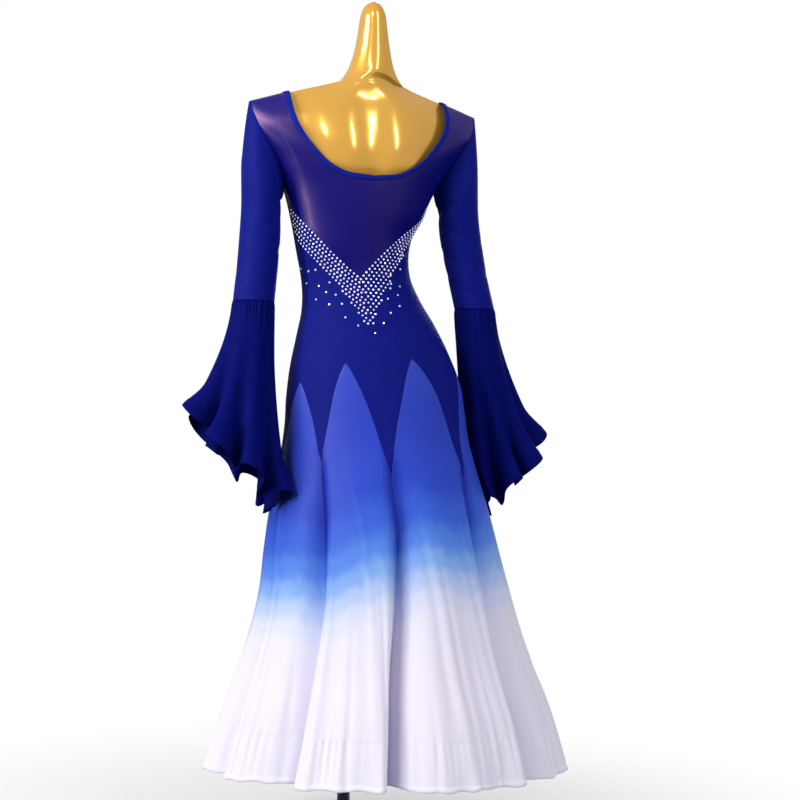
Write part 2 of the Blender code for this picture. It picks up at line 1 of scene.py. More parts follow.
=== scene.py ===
"""Looks of the ballroom dress on its gold dress form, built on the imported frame.

Metres, +Z up, +X is the wearer's left and +Y the wearer's back. A point of the
cloth is an angle round the body, in degrees from the middle of the back towards
the wearer's left, and a level, the height of its ring at the middle.
"""

import math

import bmesh
import bpy
import numpy as np
from mathutils import Matrix, Vector


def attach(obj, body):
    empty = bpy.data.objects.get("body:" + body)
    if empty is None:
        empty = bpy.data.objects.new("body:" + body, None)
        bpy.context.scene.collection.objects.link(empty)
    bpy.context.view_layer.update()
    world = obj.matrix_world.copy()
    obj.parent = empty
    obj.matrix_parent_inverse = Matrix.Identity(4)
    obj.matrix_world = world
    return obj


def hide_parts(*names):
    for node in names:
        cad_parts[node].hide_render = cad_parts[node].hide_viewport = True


SHEET = 0.0009  # thickness that the cloth shows at its edges
TUCK = 0.006  # how far a godet runs up behind the bodice
TUCK_DEPTH = 0.0014  # and how deep it lies there
SHOULDER_SHIFT = -0.009  # the middle of the shoulders, off to the wearer's right
STRAP = 24  # columns of a shoulder strap
RIDGE = 1.484  # level of the shoulder seam
ARMPIT = 1.250
SIDE_V = 1.222  # the yoke's V at the side seams
MIDDLE_V = 1.079  # and at the middle of the back
WAIST_Z = 1.0646
HEM_Z = 0.150  # mean level of the hem
HEM_LIFT = 0.020  # how far it rises at the back and falls at the front
BAND = 0.080  # height of the hem band
UNDER = 0.0076  # how far the form lies under the outer face of the dress
GODETS = 8
PANEL = 360.0 / GODETS  # degrees that one godet takes up
COLUMNS = 36  # columns of the bodice above one godet
GODET_COLUMNS = 84
GODET_STEPS = 96
BAND_COLUMNS = 170
ROLL_START = 0.071  # how far below its seam the band's rolled edge begins
SLEEVE_COLUMNS = 128
SLEEVE_STEPS = 96
FLOUNCE_WAVES = 8
FLOUNCE_COLUMNS = 448
FLOUNCE_STEPS = 76
FLOUNCE_LIFT = 0.040  # how far a flounce's hem rises at its outermost point
FLOUNCE_WAVE = 0.021  # depth of its waves at the hem
FLOUNCE_ROLL = 0.007  # and what their rolls add to it
STRAP_EASE = 1.4  # how much closer the rows of a strap are at its ends
BODICE_STEPS = 72
BINDING_STEPS = 60  # along each quarter of the neckline
BINDING_SIDES = 12
PULL = 7.0  # degrees that the back is pulled round the body at most
FOLD_START = 0.02  # how far above a dagger's tip its seam fold begins
SOFT_TOP = 0.62  # where the soft folds begin
CREASE_TOP = 0.84  # no crease lies above this level
CREASE_END = 0.05  # how far below its low end a crease fades
GATHER = 0.0011  # depth of the small ruffles at the band's seam
PIPING = 0.0014  # half the thickness of the neck binding

# level, half width, back depth, front depth, shift x, shift y, fall, rise
DRESS_RINGS = [
    (0.110, 0.362, 0.380, 0.345, -0.065, 0.060, 0.0, 0.00),
    (0.150, 0.355, 0.370, 0.338, -0.068, 0.058, 0.0, 0.00),
    (0.260, 0.322, 0.332, 0.302, -0.070, 0.050, 0.0, 0.00),
    (0.360, 0.284, 0.290, 0.264, -0.067, 0.044, 0.0, 0.00),
    (0.463, 0.252, 0.256, 0.232, -0.065, 0.036, 0.0, 0.00),
    (0.560, 0.230, 0.230, 0.208, -0.057, 0.029, 0.0, 0.01),
    (0.641, 0.212, 0.204, 0.184, -0.051, 0.025, 0.0, 0.02),
    (0.705, 0.196, 0.180, 0.160, -0.047, 0.022, 0.0, 0.03),
    (0.760, 0.184, 0.158, 0.138, -0.044, 0.019, 0.0, 0.05),
    (0.810, 0.178, 0.141, 0.121, -0.043, 0.017, 0.0, 0.07),
    (0.860, 0.173, 0.129, 0.111, -0.040, 0.014, 0.0, 0.09),
    (0.920, 0.158, 0.115, 0.104, -0.032, 0.010, 0.0, 0.10),
    (0.980, 0.137, 0.098, 0.096, -0.024, 0.005, 0.0, 0.10),
    (1.030, 0.117, 0.085, 0.088, -0.014, 0.002, 0.0, 0.10),
    (1.080, 0.107, 0.078, 0.084, -0.003, 0.000, 0.0, 0.10),
    (1.142, 0.113, 0.083, 0.096, 0.003, 0.000, 0.0, 0.08),
    (1.195, 0.131, 0.089, 0.113, -0.004, 0.000, 0.0, 0.05),
    (1.250, 0.150, 0.094, 0.122, -0.007, 0.000, 0.0, 0.02),
    (1.300, 0.176, 0.096, 0.112, -0.009, 0.000, 0.03, 0.0),
    (1.345, 0.201, 0.093, 0.095, -0.011, 0.000, 0.08, 0.0),
    (1.390, 0.221, 0.082, 0.077, -0.012, 0.000, 0.15, 0.0),
    (1.425, 0.229, 0.067, 0.061, -0.012, 0.000, 0.22, 0.0),
    (1.455, 0.232, 0.049, 0.044, -0.012, 0.000, 0.28, 0.0),
    (1.476, 0.232, 0.030, 0.027, -0.012, 0.000, 0.31, 0.0),
    (1.482, 0.232, 0.018, 0.016, -0.012, 0.000, 0.32, 0.0),
    (1.484, 0.232, 0.000, 0.000, -0.012, 0.000, 0.32, 0.0),
]
# The same columns for the form, and its core, how much deeper it is by the neck
FORM_FOOT = [
    (0.712, 0.110, 0.085, 0.070, -0.044, 0.018, 0.0, 0.00, 0.0),
    (0.722, 0.145, 0.112, 0.095, -0.044, 0.018, 0.0, 0.03, 0.0),
    (0.765, 0.163, 0.130, 0.112, -0.044, 0.018, 0.0, 0.05, 0.0),
]
FORM_HEAD = [
    (1.300, 0.160, 0.0915, 0.107, -0.009, 0.0, 0.02, 0.0, 0.000),
    (1.345, 0.178, 0.0850, 0.088, -0.011, 0.0, 0.06, 0.0, 0.000),
    (1.395, 0.187, 0.0690, 0.065, -0.012, 0.0, 0.15, 0.0, 0.000),
    (1.430, 0.185, 0.0530, 0.049, -0.012, 0.0, 0.20, 0.0, 0.003),
    (1.456, 0.178, 0.0330, 0.030, -0.012, 0.0, 0.25, 0.0, 0.016),
    (1.4713, 0.166, 0.0160, 0.015, -0.013, 0.0, 0.26, 0.0, 0.030),
    (1.478, 0.112, 0.0150, 0.014, -0.020, 0.0, 0.31, 0.0, 0.030),
    (1.485, 0.077, 0.0190, 0.018, -0.024, 0.0, 0.42, 0.0, 0.025),
    (1.494, 0.054, 0.0290, 0.028, -0.026, 0.0, 0.42, 0.0, 0.012),
    (1.508, 0.0425, 0.037, 0.037, -0.027, 0.0, 0.15, 0.0, 0.000),
    (1.530, 0.0355, 0.034, 0.034, -0.028, 0.0, 0.0, 0.0, 0.000),
    (1.570, 0.0295, 0.029, 0.029, -0.028, 0.0, 0.0, 0.0, 0.000),
    (1.598, 0.0250, 0.025, 0.025, -0.028, 0.0, 0.0, 0.0, 0.000),
    (1.614, 0.0170, 0.017, 0.017, -0.028, 0.0, 0.0, 0.0, 0.000),
    (1.621, 0.0070, 0.007, 0.007, -0.028, 0.0, 0.0, 0.0, 0.000),
]
# The fold at each godet's seam: seam angle, level of the dagger's tip, drift at the
# hem, depth at the hem, half width on the side of smaller angles and on the other side
SEAM_FOLDS = [
    (0, 0.710, 11.0, 0.075, 5.0, 3.4),
    (45, 0.735, 6.0, 0.060, 3.4, 6.0),
    (90, 0.728, -9.0, 0.055, 3.6, 6.0),
    (135, 0.722, 2.0, 0.055, 5.0, 4.0),
    (180, 0.722, -4.0, 0.060, 4.0, 5.5),
    (225, 0.722, 3.0, 0.055, 5.0, 4.0),
    (270, 0.720, 8.0, 0.050, 4.0, 5.5),
    (315, 0.700, 9.0, 0.070, 6.0, 3.6),
]
# How far each of these folds laps over, in degrees; the sign tells which side is in front
FOLD_LAPS = [8.0, -6.0, -4.0, -3.0, 4.0, 3.0, 4.0, 7.0]
# The soft folds between the seams: angle, depth at the hem, half width
SOFT_FOLDS = [
    (24, 0.016, 7.0),
    (36, 0.010, 5.0),
    (62, 0.018, 6.0),
    (103, 0.020, 7.0),
    (118, 0.014, 6.0),
    (152, 0.022, 7.0),
    (164, 0.012, 5.0),
    (197, 0.022, 7.0),
    (210, 0.012, 5.0),
    (243, 0.018, 7.0),
    (258, 0.012, 5.0),
    (293, 0.022, 7.0),
    (308, 0.014, 5.0),
    (341, 0.020, 7.0),
    (355, 0.010, 5.0),
]
# Small creases of the skirt: angle at the hem, how many degrees
# they lean by their upper end, level of both ends, depth and half width in degrees.
# The same creases lie on the front, turned half round.
CREASES = [
    (-84, 3.0, 0.12, 0.58, 0.0040, 1.3),
    (-78, 2.0, 0.12, 0.46, -0.0030, 1.0),
    (-69, -2.0, 0.12, 0.66, 0.0050, 1.6),
    (-61, 1.0, 0.12, 0.50, -0.0035, 1.1),
    (-55, 3.0, 0.20, 0.72, 0.0034, 1.5),
    (-49, 1.5, 0.12, 0.42, 0.0040, 1.0),
    (-40, -2.5, 0.12, 0.69, -0.0040, 1.8),
    (-33, -1.0, 0.12, 0.55, 0.0046, 1.2),
    (-27, 1.0, 0.24, 0.76, 0.0030, 1.6),
    (-20, 0.0, 0.12, 0.48, -0.0038, 1.1),
    (-13, 2.0, 0.12, 0.64, 0.0044, 1.3),
    (-6, 1.0, 0.30, 0.80, 0.0026, 1.8),
    (2, -2.0, 0.12, 0.40, 0.0030, 0.9),
    (16, 2.0, 0.12, 0.62, 0.0042, 1.3),
    (21, 3.0, 0.28, 0.78, -0.0028, 1.7),
    (29, 1.0, 0.12, 0.52, 0.0040, 1.1),
    (41, -1.5, 0.12, 0.66, -0.0036, 1.4),
    (47, -2.0, 0.26, 0.74, 0.0030, 1.6),
    (56, 2.0, 0.12, 0.47, 0.0042, 1.1),
    (67, 1.0, 0.12, 0.60, -0.0040, 1.3),
    (73, -2.0, 0.12, 0.70, 0.0044, 1.5),
    (86, 1.0, 0.12, 0.50, 0.0036, 1.1),
    (93, -1.0, 0.12, 0.62, -0.0034, 1.2),
]
# Level of each godet's leaf-shaped top
GODET_TOPS = [0.922, 0.892, 0.892, 0.900, 0.902, 0.892, 0.886, 0.920]
# How far below its seam each row of the hem band lies
BAND_ROWS = [
    0.0, 0.0004, 0.001, 0.0025, 0.005, 0.009, 0.015, 0.022, 0.030, 0.038, 0.046,
    0.054, 0.061, 0.067, 0.071, 0.0725, 0.074, 0.076, 0.078, 0.0795, BAND,
]
# Half the neckline: angle, level, angle and level of the binding's seam
NECK_BACK = [
    (0.0, 1.270, 0.0, 1.260),
    (20.0, 1.279, 21.6, 1.270),
    (33.0, 1.308, 36.2, 1.302),
    (39.6, 1.360, 43.2, 1.358),
    (41.2, 1.415, 44.6, 1.414),
    (41.3, 1.455, 44.7, 1.455),
    (41.3, RIDGE, 44.7, RIDGE),
]
NECK_FRONT = [
    (0.0, 1.345, 0.0, 1.335),
    (14.5, 1.351, 15.4, 1.341),
    (26.0, 1.369, 28.2, 1.360),
    (35.0, 1.398, 38.2, 1.392),
    (39.8, 1.432, 43.1, 1.430),
    (41.3, 1.462, 44.7, 1.461),
    (41.3, RIDGE, 44.7, RIDGE),
]
NECK_TURN = 2  # the row from which the neckline climbs along a strap
# level, angle
ARMHOLE = [
    (ARMPIT, 90.0),
    (1.275, 80.5),
    (1.305, 75.0),
    (1.345, 72.0),
    (1.390, 71.5),
    (1.420, 72.0),
    (1.450, 73.5),
    (1.474, 75.5),
    (RIDGE, 78.0),
]
# level, middle x, middle y, half width, half depth, lift of the outer side
SLEEVE_RINGS = [
    (1.252, 0.199, 0.004, 0.0375, 0.0460, 0.032),
    (1.195, 0.198, 0.004, 0.0370, 0.0430, 0.018),
    (1.145, 0.200, 0.006, 0.0380, 0.0400, 0.008),
    (1.090, 0.204, 0.008, 0.0385, 0.0380, 0.000),
    (1.0275, 0.210, 0.010, 0.0390, 0.0370, 0.000),
]
# side, its sign, how far the cuff swings out, hem middle x, middle y,
# hem half width, half depth, level of the hem outside and at the body
SIDES = [
    ("left", 1, 0.000, 0.241, 0.050, 0.078, 0.078, 0.775, 0.640),
    ("right", -1, 0.027, 0.307, -0.006, 0.054, 0.084, 0.735, 0.632),
]
# Creases of the stretch sleeves: level, place round the sleeve in degrees from the
# outer side, slope in degrees a metre, depth, half height, half width in degrees
SLEEVE_CREASES = [
    (1.236, 150, 300, 0.0022, 0.010, 40),
    (1.214, 195, -350, 0.0020, 0.009, 45),
    (1.176, 120, 420, 0.0014, 0.010, 50),
    (1.150, 60, -380, 0.0015, 0.008, 40),
    (1.128, 170, 300, 0.0017, 0.009, 55),
    (1.104, 40, 260, 0.0012, 0.008, 45),
    (1.086, 230, -300, 0.0014, 0.009, 50),
    (1.060, 110, 340, 0.0011, 0.007, 45),
    (1.044, 300, -260, 0.0012, 0.008, 50),
]
# Stones scattered below the band, as read off the photo: across from the middle of
# the waist and up from it, in steps of 1.9 mm
LOOSE_STONES = [
    (-57.9, 31.3), (-55.8, 21.0), (-51.5, 6.0), (-47.5, 17.6), (-38.8, 18.0), (-37.0, 2.2),
    (-41.5, -11.0), (-28.5, -4.7), (-22.9, 4.6), (-17.0, -8.0), (-25.9, -17.0), (-11.0, -17.5),
    (-8.5, -31.0), (2.5, -40.0), (14.5, -48.7), (21.9, -39.5), (29.4, -29.7), (38.1, -23.5),
    (31.1, -15.6), (40.2, -12.4), (44.9, -3.8), (36.0, -5.3), (37.9, -0.8), (39.3, 7.5),
    (49.0, 13.7), (48.8, 23.8), (51.1, 28.4),
]
PHOTO_STEP = 0.0019  # the 1.9 mm of these steps
HALF_WAIST = 58.0  # half the waist's width, in the same steps
WAIST_MIDDLE = 12.55  # angle of the waist's middle, as the photo shows it
STONE_PITCH = 0.0087  # from stone to stone along a row
STONE_ROW = 0.0098  # from row to row
STONE_ROWS = 13
FIRST_ROW = 0.004  # the uppermost row, below the V
STAGGER = 2.0  # degrees that every other row is moved on by
STONES_END = 88.0  # angle of the last stone of a row
STONE_SIDES = 8
# The cut of a stone, by the inputs of its tree: its radius in metres, its heights and
# other radii in shares of that one, and its twist and size phase, radians from one to
# the next
STONE_CUT = {
    "Stone radius": 0.0020,
    "Size spread": 0.10,
    "Size phase": 7.3,
    "Twist": 0.9,
    "Lift": 0.05,
    "Girdle height": 0.23,
    "Crown radius": 0.92,
    "Crown height": 0.34,
    "Table radius": 0.52,
}
# How far the dense stones reach below the V: angle, drop
STONE_DROP = [
    (-90, 0.040),
    (-62, 0.050),
    (-38, 0.060),
    (-18, 0.068),
    (-6, 0.086),
    (0, 0.098),
    (6, 0.090),
    (16, 0.068),
    (30, 0.060),
    (50, 0.057),
    (70, 0.056),
    (90, 0.050),
]

POLE_RADIUS = 0.0125
BASE_RADIUS = 0.150
BASE_HEIGHT = 0.012
COLLAR_RADIUS = 0.024
COLLAR_HEIGHT = 0.045
LIP = 0.003  # radius of the rounded edge of the base and the collar
POLE_TOP = 0.7117
FORM_COLUMNS = 160
FORM_STEPS = 6  # rows of the shell from one of its rings to the next
NECK_SMOOTHING = 40  # rounds
TURNED_COLUMNS = 96
# Where the form's neck is smoothed: lowest and highest level, its middle, half width
FORM_NECK = (1.458, 1.565, -0.026, 0.105)

# Colours of the ombre: level, colour
OMBRE = [
    (0.150, "#f3edf9"),
    (0.350, "#f1eaf8"),
    (0.436, "#ece7f8"),
    (0.476, "#dce0f8"),
    (0.508, "#bacef6"),
    (0.541, "#86b0f0"),
    (0.579, "#5487e6"),
    (0.626, "#3a62d6"),
    (0.690, "#2c49c4"),
    (0.800, "#2c42bc"),
    (0.930, "#3349bc"),
]
DYE_LOW = 0.10  # the levels between which the dye's ramp runs
DYE_HIGH = 0.95

PHOTO_TURN = 163.0  # degrees that the camera goes round from the front
PHOTO_DISTANCE = 3.2
PHOTO_AIM = (0.0, 0.0, 0.8455)
PHOTO_ASIDE = 0.094  # how far to the right of that point it looks
PHOTO_TILT = 1.2  # degrees that the photo leans
PHOTO_LENS = 73.85  # in millimetres, for a sensor 36 mm wide
LIGHTS_AIM = Vector((-0.02, 0.0, 0.95))
FLOOR_RADIUS = 40.0
FLOOR_Z = -0.0005


def srgb(text):
    """A linear colour from a #rrggbb text."""
    channels = []
    for k in (1, 3, 5):
        c = int(text[k:k + 2], 16) / 255.0
        channels.append(c / 12.92 if c <= 0.04045 else ((c + 0.055) / 1.055) ** 2.4)
    return (*channels, 1.0)


def between(table, key):
    """The row of a table where its first column is the key, on a smooth curve through its rows."""
    last = len(table) - 1
    falling = table[0][0] > table[last][0]
    i = 0
    while i < last - 1 and (table[i + 1][0] < key) != falling:
        i += 1
    a, b = table[i], table[i + 1]
    before, after = table[max(i - 1, 0)], table[min(i + 2, last)]
    span = b[0] - a[0]
    s = min(max((key - a[0]) / span, 0.0), 1.0)
    row = []
    for p, q, r, w in zip(before, a, b, after):
        slope_in = (r - p) * span / (b[0] - before[0])
        slope_out = (w - q) * span / (after[0] - a[0])
        row.append(
            q * (1 + 2 * s) * (1 - s) ** 2
            + slope_in * s * (1 - s) ** 2
            + r * s * s * (3 - 2 * s)
            + slope_out * s * s * (s - 1)
        )
    return row


def signed(angle):
    """The same angle between -180 and 180 degrees."""
    return (angle + 180.0) % 360.0 - 180.0


def smooth(value, low, high):
    """0 at low, 1 at high, with soft ends."""
    s = min(max((value - low) / (high - low), 0.0), 1.0)
    return s * s * (3 - 2 * s)


def bell(off, width):
    """1 in the middle of something, and near 0 from two widths off."""
    return math.exp(-((off / width) ** 2))


def hem_level(angle):
    """Level of the hem, which is higher at the back."""
    return HEM_Z + HEM_LIFT * math.cos(math.radians(angle))


def fold_growth(level, start):
    """How far a fold has grown from where it starts to the hem, 0 to 1."""
    return max(0.0, min(1.0, (start - level) / (start - HEM_Z)))


def seam_angle(number, level):
    """Where the seam before a godet lies at a level."""
    angle, tip, drift = SEAM_FOLDS[number % GODETS][:3]
    grown = fold_growth(level, tip)
    turns = number // GODETS
    return angle + 360.0 * turns + drift * grown * (2 - grown)


def seam_folds_at(angle, level):
    """The number of each seam fold that reaches a level, and its share in a point there."""
    for number, (_, tip, _, _, narrow, wide) in enumerate(SEAM_FOLDS):
        grown = fold_growth(level, tip + FOLD_START)
        if grown > 0.0:
            off = signed(angle - seam_angle(number, level))
            width = (wide if off > 0 else narrow) * (1.0 + 0.5 * (1 - grown))
            yield number, grown**0.8 * math.exp(-abs(off / width) ** 1.7)


def fold_depth(angle, level):
    """How far the skirt's folds draw the cloth in at a point, in metres."""
    depth = sum(SEAM_FOLDS[number][3] * share for number, share in seam_folds_at(angle, level))
    grown = fold_growth(level, SOFT_TOP)
    if grown > 0.0:
        for middle, deep, width in SOFT_FOLDS:
            depth += deep * grown**1.2 * bell(signed(angle - middle), width)
    return depth


def crease_depth(angle, level):
    """How far the small creases of the skirt draw it in at a point."""
    depth = 0.0
    if level > CREASE_TOP:
        return depth
    for turned in (0.0, 180.0):
        for middle, lean, low, high, deep, width in CREASES:
            if not low - CREASE_END < level < high:
                continue
            part = (level - low) / (high - low)
            off = signed(angle - turned - middle - lean * part)
            if abs(off) > 3 * width:
                continue
            strength = smooth(level, low - CREASE_END, low + 0.02) * (1 - smooth(part, 0.35, 1.0))
            depth += deep * strength * bell(off, width)
    return depth


def on_ring(ring, angle, inset):
    """A point of a ring at an angle, drawn in by inset."""
    _, half, back, front, shift_x, shift_y, fall, rise = ring[:8]
    turn = math.radians(angle)
    deep = back if math.cos(turn) > 0 else front
    core = ring[8] if len(ring) > 8 else 0.0
    x = (half - inset) * math.sin(turn)
    y = (deep - min(inset, deep)) * math.cos(turn)
    y += math.copysign(core * bell(x, 0.045), y) * min(1.0, abs(y) / 0.004)
    z = ring[0] - fall * abs(x) - rise * x
    return Vector((x + shift_x, y + shift_y, z))


def lapped(angle, level):
    """How many degrees a seam fold's bottom is drawn behind its front edge."""
    return sum(FOLD_LAPS[number] * share for number, share in seam_folds_at(angle, level))


def pulled(angle, level):
    """How many degrees the back is pulled round the body, where it clings."""
    held = smooth(level, 0.60, 0.74) * (1 - smooth(level, 1.14, 1.27))
    return PULL * held * bell(signed(angle) - 10.0, 38.0)


def cloth(angle, level, inset=0.0):
    """A point of the outer face of the cloth."""
    depth = fold_depth(angle, level) + crease_depth(angle, level) + inset
    turned = angle + pulled(angle, level) + lapped(angle, level)
    return on_ring(between(DRESS_RINGS, level), turned, depth)


def crowded(share):
    """A share of a panel's width, with the columns closer at its seams."""
    return share - 0.55 * math.sin(2 * math.pi * share) / (2 * math.pi)


def godet_drop(share):
    """How far a leaf's edge has come down at a share of its half width."""
    return 0.35 * share + 0.65 * share**2.2


def dagger_edge(angle):
    """Level of the line between the daggers and the godets."""
    place = (angle % 360.0) / PANEL
    number = min(int(place), GODETS - 1)
    share = abs(2 * (place - number) - 1)
    side = number if place - number < 0.5 else (number + 1) % GODETS
    tip = SEAM_FOLDS[side][1]
    top = GODET_TOPS[number]
    return top - (top - tip) * godet_drop(share)


def filled(bottom, top, left, right, reach=1.0, calm=1.0):
    """Rows of (angle, level) between a bottom and a top edge and two sides.

    reach is the share of the width over which a side draws the rows to itself, and calm
    the share of the height over which the bottom edge's zigzag fades.
    """
    rows = []
    low, high = left[0][1], left[-1][1]
    base = max(level for _, level in bottom)
    width = len(bottom) - 1

    def plain(i, v):
        down, up = bottom[i], top[i]
        zigzag = (down[1] - base) * max(0.0, 1 - v / calm)
        return (1 - v) * down[0] + v * up[0], (1 - v) * base + v * up[1] + zigzag

    for near, far in zip(left, right):
        v = (near[1] - low) / (high - low)
        row = []
        for i in range(width + 1):
            at_left = max(0.0, 1 - i / width / reach)
            at_right = max(0.0, 1 - (1 - i / width) / reach)
            spot = []
            for k in (0, 1):
                value = plain(i, v)[k]
                value += at_left * (near[k] - plain(0, v)[k])
                value += at_right * (far[k] - plain(width, v)[k])
                spot.append(value)
            row.append(tuple(spot))
        rows.append(row)
    return rows


def panel_angles(start, count):
    """The angles of the columns above a number of godets."""
    angles = []
    for number in range(count):
        for i in range(COLUMNS):
            angles.append(start + PANEL * (number + crowded(i / COLUMNS)))
    angles.append(start + PANEL * count)
    return angles


def v_level(angle):
    """The V-shaped line between the yoke and the back bodice."""
    share = min(abs(angle) / 90.0, 1.0)
    return MIDDLE_V + (SIDE_V - MIDDLE_V) * (1.25 * share - 0.25 * share**2)


def neck_by_share(neck):
    """The neckline's table with its share of the line's length in front."""
    front = neck is NECK_FRONT
    points = [cloth(180.0 - row[0] if front else row[0], row[1]) for row in neck]
    lengths = [0.0]
    for a, b in zip(points, points[1:]):
        lengths.append(lengths[-1] + (b - a).length)
    return [(length / lengths[-1], *row) for length, row in zip(lengths, neck)]


def neck_seam(neck, start, end, steps, ease=1.0):
    """The binding's seam between two shares of the neckline's length."""
    table = neck_by_share(neck)
    edge = []
    for j in range(steps + 1):
        share = end - (end - start) * (1 - j / steps) ** ease
        edge.append(tuple(between(table, share)[3:5]))
    return edge


def mirrored(edge):
    """The same edge on the wearer's right."""
    return [(-angle, level) for angle, level in edge]


def armhole_point(level):
    """A point of the armhole's seam as an angle and a level."""
    return between(ARMHOLE, level)[1], level


def side_of_panel(low, high, below, above):
    """A panel's edge: up the side seam to the armpit, then along the armhole."""
    edge = [(90.0, low + (ARMPIT - low) * j / below) for j in range(below)]
    for j in range(above + 1):
        edge.append(armhole_point(ARMPIT + (high - ARMPIT) * j / above))
    return edge


def panel_with_straps(bottom, neck, below, above, strap_steps, calm=1.0):
    """A body patch up to the turn of the neckline, and a strap at each side."""
    count = len(bottom) - 1
    turn = neck_by_share(neck)[NECK_TURN][0]
    curve = neck_seam(neck, turn, 0.0, count // 2 - STRAP)
    inner = curve[0]
    outer = armhole_point(inner[1])
    across = []
    for i in range(STRAP):
        across.append(tuple(outer[k] + (inner[k] - outer[k]) * i / STRAP for k in (0, 1)))
    half = across + curve
    top = mirrored(half) + list(reversed(half[:-1]))
    left = mirrored(side_of_panel(bottom[0][1], inner[1], below, above))
    right = side_of_panel(bottom[-1][1], inner[1], below, above)
    body = filled(bottom, top, left, right, STRAP / count, calm)

    corner, seam = ARMHOLE[-1][1], neck[-1][2]
    ridge = [(corner + (seam - corner) * i / STRAP, RIDGE) for i in range(STRAP + 1)]
    by_arm = []
    for j in range(strap_steps + 1):
        by_arm.append(armhole_point(RIDGE - (RIDGE - inner[1]) * (1 - j / strap_steps) ** STRAP_EASE))
    by_neck = neck_seam(neck, turn, 1.0, strap_steps, STRAP_EASE)
    strap = filled(across + [inner], ridge, by_arm, by_neck)
    other = [list(reversed(mirrored(row))) for row in strap]
    return [body, [list(reversed(row)) for row in strap], [list(reversed(row)) for row in other]]


def lifted(rows, back=True):
    """The points of rows of (angle, level), of the back or turned to the front."""
    points = []
    for row in rows:
        line = [cloth(angle if back else 180.0 - angle, level) for angle, level in row]
        points.append(list(reversed(line)) if back else line)
    return points


# Meshes


def add_grid(name, patches, material, closed=False, thickness=SHEET, extra=None):
    """A cloth from patches of rows of points, with real lengths as its UV.

    extra holds lists of a value for each point, by the name of their attribute.
    """
    points, faces, uvs = [], [], []
    extras = {key: [] for key in extra or {}}
    for number, rows in enumerate(patches):
        grid = np.array([[tuple(p) for p in row] for row in rows])
        height, width = grid.shape[:2]
        if closed:
            grid = np.concatenate([grid, grid[:, :1]], axis=1)
            width += 1
        across = np.linalg.norm(np.diff(grid, axis=1), axis=2).mean(axis=0)
        along = np.linalg.norm(np.diff(grid, axis=0), axis=2).mean(axis=1)
        u = np.concatenate([[0.0], np.cumsum(across)])
        v = np.concatenate([[0.0], np.cumsum(along)])
        base = len(points)
        points.extend(grid.reshape(-1, 3).tolist())
        uvs.extend((u[i], v[j]) for j in range(height) for i in range(width))
        for key in extras:
            extras[key].extend(np.array(extra[key][number]).reshape(-1).tolist())
        for j in range(height - 1):
            for i in range(width - 1):
                a = base + j * width + i
                faces.append((a, a + 1, a + width + 1, a + width))
    mesh = bpy.data.meshes.new(name)
    mesh.from_pydata(points, [], faces)
    layer = mesh.uv_layers.new(name="Cloth")
    corners = np.empty(len(mesh.loops), np.int32)
    mesh.loops.foreach_get("vertex_index", corners)
    layer.data.foreach_set("uv", np.array(uvs, np.float32)[corners].ravel())
    for key, values in extras.items():
        attribute = mesh.attributes.new(key, "FLOAT", "POINT")
        attribute.data.foreach_set("value", np.array(values, np.float32))
    bm = bmesh.new()
    bm.from_mesh(mesh)
    bmesh.ops.remove_doubles(bm, verts=bm.verts, dist=0.00002)
    bm.to_mesh(mesh)
    bm.free()
    mesh.shade_smooth()
    return add_piece(name, mesh, material, thickness)


def add_piece(name, mesh, material, thickness=None):
    """An object of a mesh, with a wall of that thickness inside it where one is given."""
    obj = bpy.data.objects.new(name, mesh)
    obj.data.materials.append(material)
    bpy.context.scene.collection.objects.link(obj)
    if thickness is not None:
        solidify = obj.modifiers.new("Cloth", "SOLIDIFY")
        solidify.thickness = thickness
        solidify.offset = -1.0
    return obj


def as_tube(rows, material, name):
    """A closed smooth piece from rings of points, capped at both ends."""
    grid = [[tuple(p) for p in row] for row in rows]
    count = len(grid[0])
    points = [p for row in grid for p in row]
    faces = []
    for j in range(len(grid) - 1):
        for i in range(count):
            k = (i + 1) % count
            faces.append((j * count + i, j * count + k, (j + 1) * count + k, (j + 1) * count + i))
    faces.append(tuple(reversed(range(count))))
    last = (len(grid) - 1) * count
    faces.append(tuple(range(last, last + count)))
    mesh = bpy.data.meshes.new(name)
    mesh.from_pydata(points, [], faces)
    mesh.shade_smooth()
    return add_piece(name, mesh, material)


def curve_through(values, share):
    """A point on a smooth curve through a list of vectors."""
    last = len(values) - 1
    place = share * last
    i = min(int(place), last - 1)
    s = place - i
    before, a = values[max(i - 1, 0)], values[i]
    b, after = values[i + 1], values[min(i + 2, last)]
    return (
        a * 2
        + (b - before) * s
        + (before * 2 - a * 5 + b * 4 - after) * s * s
        + (a * 3 - before - b * 3 + after) * s * s * s
    ) * 0.5


def finer_rows(rows, steps):
    """Steps rows of points on smooth curves down the columns of a few rows."""
    columns = list(zip(*rows))
    return [[curve_through(column, j / steps) for column in columns] for j in range(steps + 1)]


# Materials


def new_material(name, colour, roughness, metallic=0.0):
    """A material and its shader, with the values that every finish has."""
    material = bpy.data.materials.new(name)
    material.use_nodes = True
    shader = material.node_tree.nodes["Principled BSDF"]
    shader.inputs["Base Color"].default_value = srgb(colour)
    shader.inputs["Roughness"].default_value = roughness
    shader.inputs["Metallic"].default_value = metallic
    return material, shader


def add_node(owner, kind, links=(), **settings):
    """A node of a material or a tree, its inputs from (input, output or value) pairs."""
    tree = getattr(owner, "node_tree", owner)
    node = tree.nodes.new(kind)
    for key, value in settings.items():
        setattr(node, key, value)
    for socket, source in links:
        if hasattr(source, "is_linked"):
            tree.links.new(source, node.inputs[socket])
        else:
            node.inputs[socket].default_value = source
    return node


def plug(owner, source, shader, socket):
    """Links an output to an input of the shader."""
    owner.node_tree.links.new(source, shader.inputs[socket])


